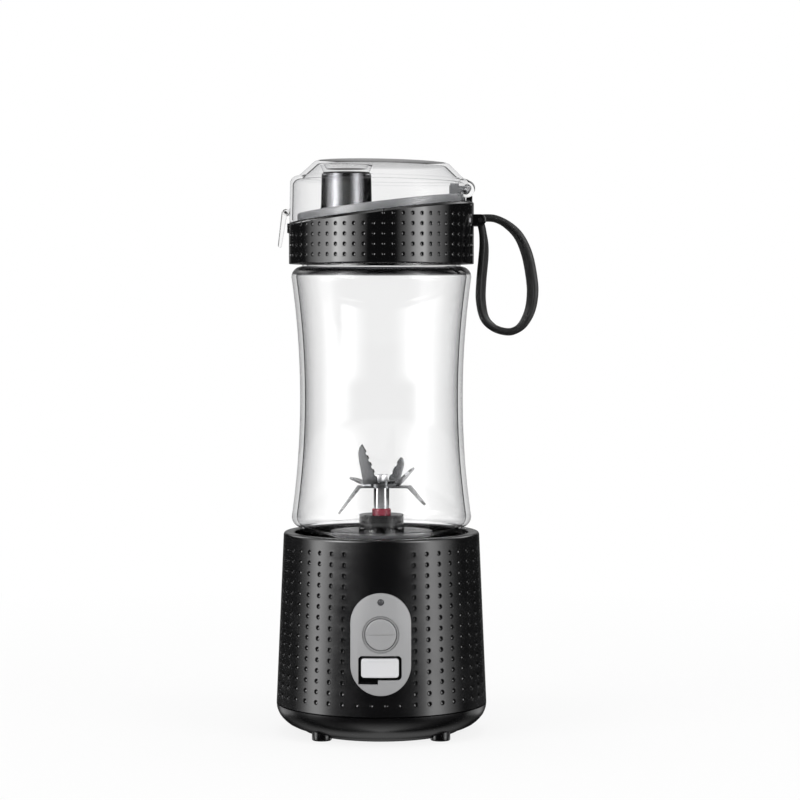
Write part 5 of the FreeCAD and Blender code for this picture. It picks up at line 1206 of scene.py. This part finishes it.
class CUP_OT_stage(bpy.types.Operator):
    """Set the pale floor, the studio walls, the soft light and the camera"""
    bl_idname = "cup.stage"
    bl_label = "Stage"

    def execute(self, context):
        scene = context.scene
        white = (1, 1, 1, 1)
        scene.world = scene.world or bpy.data.worlds.new("studio")
        scene.world.use_nodes = True
        tree = scene.world.node_tree
        tree.nodes.clear()
        room, paper_white = (add(tree, "ShaderNodeBackground", {"Color": white, "Strength": s})
                             for s in (0.5, 1.0))
        shade_by(tree, seen(tree), room, paper_white, "ShaderNodeOutputWorld")

        bm = bmesh.new()
        bmesh.ops.create_grid(bm, x_segments=4, y_segments=4, size=FLOOR_R)
        floor = put_in("floor", as_mesh(bm, "floor"))
        floor.visible_glossy = False
        # Matt white paper: even and bare of shine, a little greyer close to the cup.
        paper, tree = blank("white_paper")
        matt = add(tree, "ShaderNodeBsdfDiffuse", {"Color": linear("#F4F4F4")})
        plain = add(tree, "ShaderNodeEmission", {"Color": white, "Strength": 1.0})
        place = add(tree, "ShaderNodeTexCoord").outputs["Object"]
        away = add(tree, "ShaderNodeVectorMath", {0: place}, operation="LENGTH").outputs["Value"]
        fade = add(tree, "ShaderNodeMapRange", {"Value": away, "From Min": 0.05, "From Max": 0.5,
                   "To Min": 0.85, "To Max": 1.0}).outputs["Result"]
        share = add(tree, "ShaderNodeMath", {0: seen(tree), 1: fade}, operation="MULTIPLY")
        shade_by(tree, share.outputs[0], matt, plain)
        floor.data.materials.append(paper)

        bm = bmesh.new()
        bmesh.ops.create_uvsphere(bm, u_segments=240, v_segments=90, radius=STUDIO_R)
        screens = put_in("studio_screens", as_mesh(bm, "studio_screens"))
        glow = screens.data.attributes.new("glow", "FLOAT", "POINT")
        for vert, cell in zip(screens.data.vertices, glow.data):
            azimuth = math.degrees(math.atan2(vert.co.x, -vert.co.y))
            lift = math.degrees(math.asin(max(-1.0, min(1.0, vert.co.z / STUDIO_R))))
            vert.co.z += STUDIO_MIDDLE_Z
            cell.value = studio_glow(azimuth, lift, vert.co.z)
        screens.visible_camera = screens.visible_diffuse = screens.visible_shadow = False
        # Studio screens: light that only glossy surfaces show.
        light, tree = blank("studio_screens")
        light.cycles.emission_sampling = "NONE"
        level = add(tree, "ShaderNodeAttribute", attribute_name="glow")
        shine = add(tree, "ShaderNodeEmission", {"Strength": level.outputs["Fac"]})
        through = add(tree, "ShaderNodeBsdfTransparent")
        depth = add(tree, "ShaderNodeLightPath").outputs["Glossy Depth"]
        mirrored = add(tree, "ShaderNodeMath", {0: depth, 1: 0.5}, operation="GREATER_THAN")
        shade_by(tree, mirrored.outputs[0], through, shine)
        screens.data.materials.append(light)

        for name, place, watts in LAMPS:
            lamp = bpy.data.lights.new(name, "AREA")
            lamp.shape, lamp.size, lamp.size_y, lamp.energy = "RECTANGLE", 0.7, 1.0, watts
            holder = aimed(put_in(name, lamp), place, (0, 0, 0.12))
            holder.visible_glossy = holder.visible_camera = False

        view = bpy.data.cameras.new("camera")
        view.sensor_width, view.lens = 36.0, LENS
        scene.camera = aimed(put_in("camera", view), CAMERA_AT, CAMERA_AIM)
        scene.view_settings.view_transform = "Standard"
        return {"FINISHED"}


# ------------------------------------------------------------ panel and registration
STEPS = (CUP_OT_finishes, CUP_OT_housing, CUP_OT_underside, CUP_OT_controls,
         CUP_OT_port_cover, CUP_OT_drive, CUP_OT_jar, CUP_OT_ring, CUP_OT_deck, CUP_OT_spout,
         CUP_OT_cover, CUP_OT_latch, CUP_OT_strap, CUP_OT_stage)


class CUP_PT_cup(bpy.types.Panel):
    """Lists the settings of the cup and the steps that build it"""
    bl_label = "Cup Blender"
    bl_idname = "CUP_PT_cup"
    bl_space_type = "VIEW_3D"
    bl_region_type = "UI"
    bl_category = "Cup Blender"

    def draw(self, context):
        for group in (context.scene.cup_mouldings, context.scene.cup_colours):
            for name in group.bl_rna.properties.keys():
                if name not in {"rna_type", "name"}:
                    self.layout.prop(group, name)
        for step in STEPS:
            self.layout.operator(step.bl_idname)


CLASSES = (CupMouldings, CupColours, *STEPS, CUP_PT_cup)


def register():
    """Register the classes and give the scene its settings."""
    for cls in CLASSES:
        bpy.utils.register_class(cls)
    bpy.types.Scene.cup_mouldings = PointerProperty(type=CupMouldings)
    bpy.types.Scene.cup_colours = PointerProperty(type=CupColours)


def unregister():
    """Take the settings and the classes away again."""
    del bpy.types.Scene.cup_colours
    del bpy.types.Scene.cup_mouldings
    for cls in reversed(CLASSES):
        bpy.utils.unregister_class(cls)


def main():
    """Build every piece and the stage."""
    register()
    for step in STEPS:
        getattr(bpy.ops.cup, step.bl_idname.split(".")[1])()


if __name__ == "__main__":
    main()
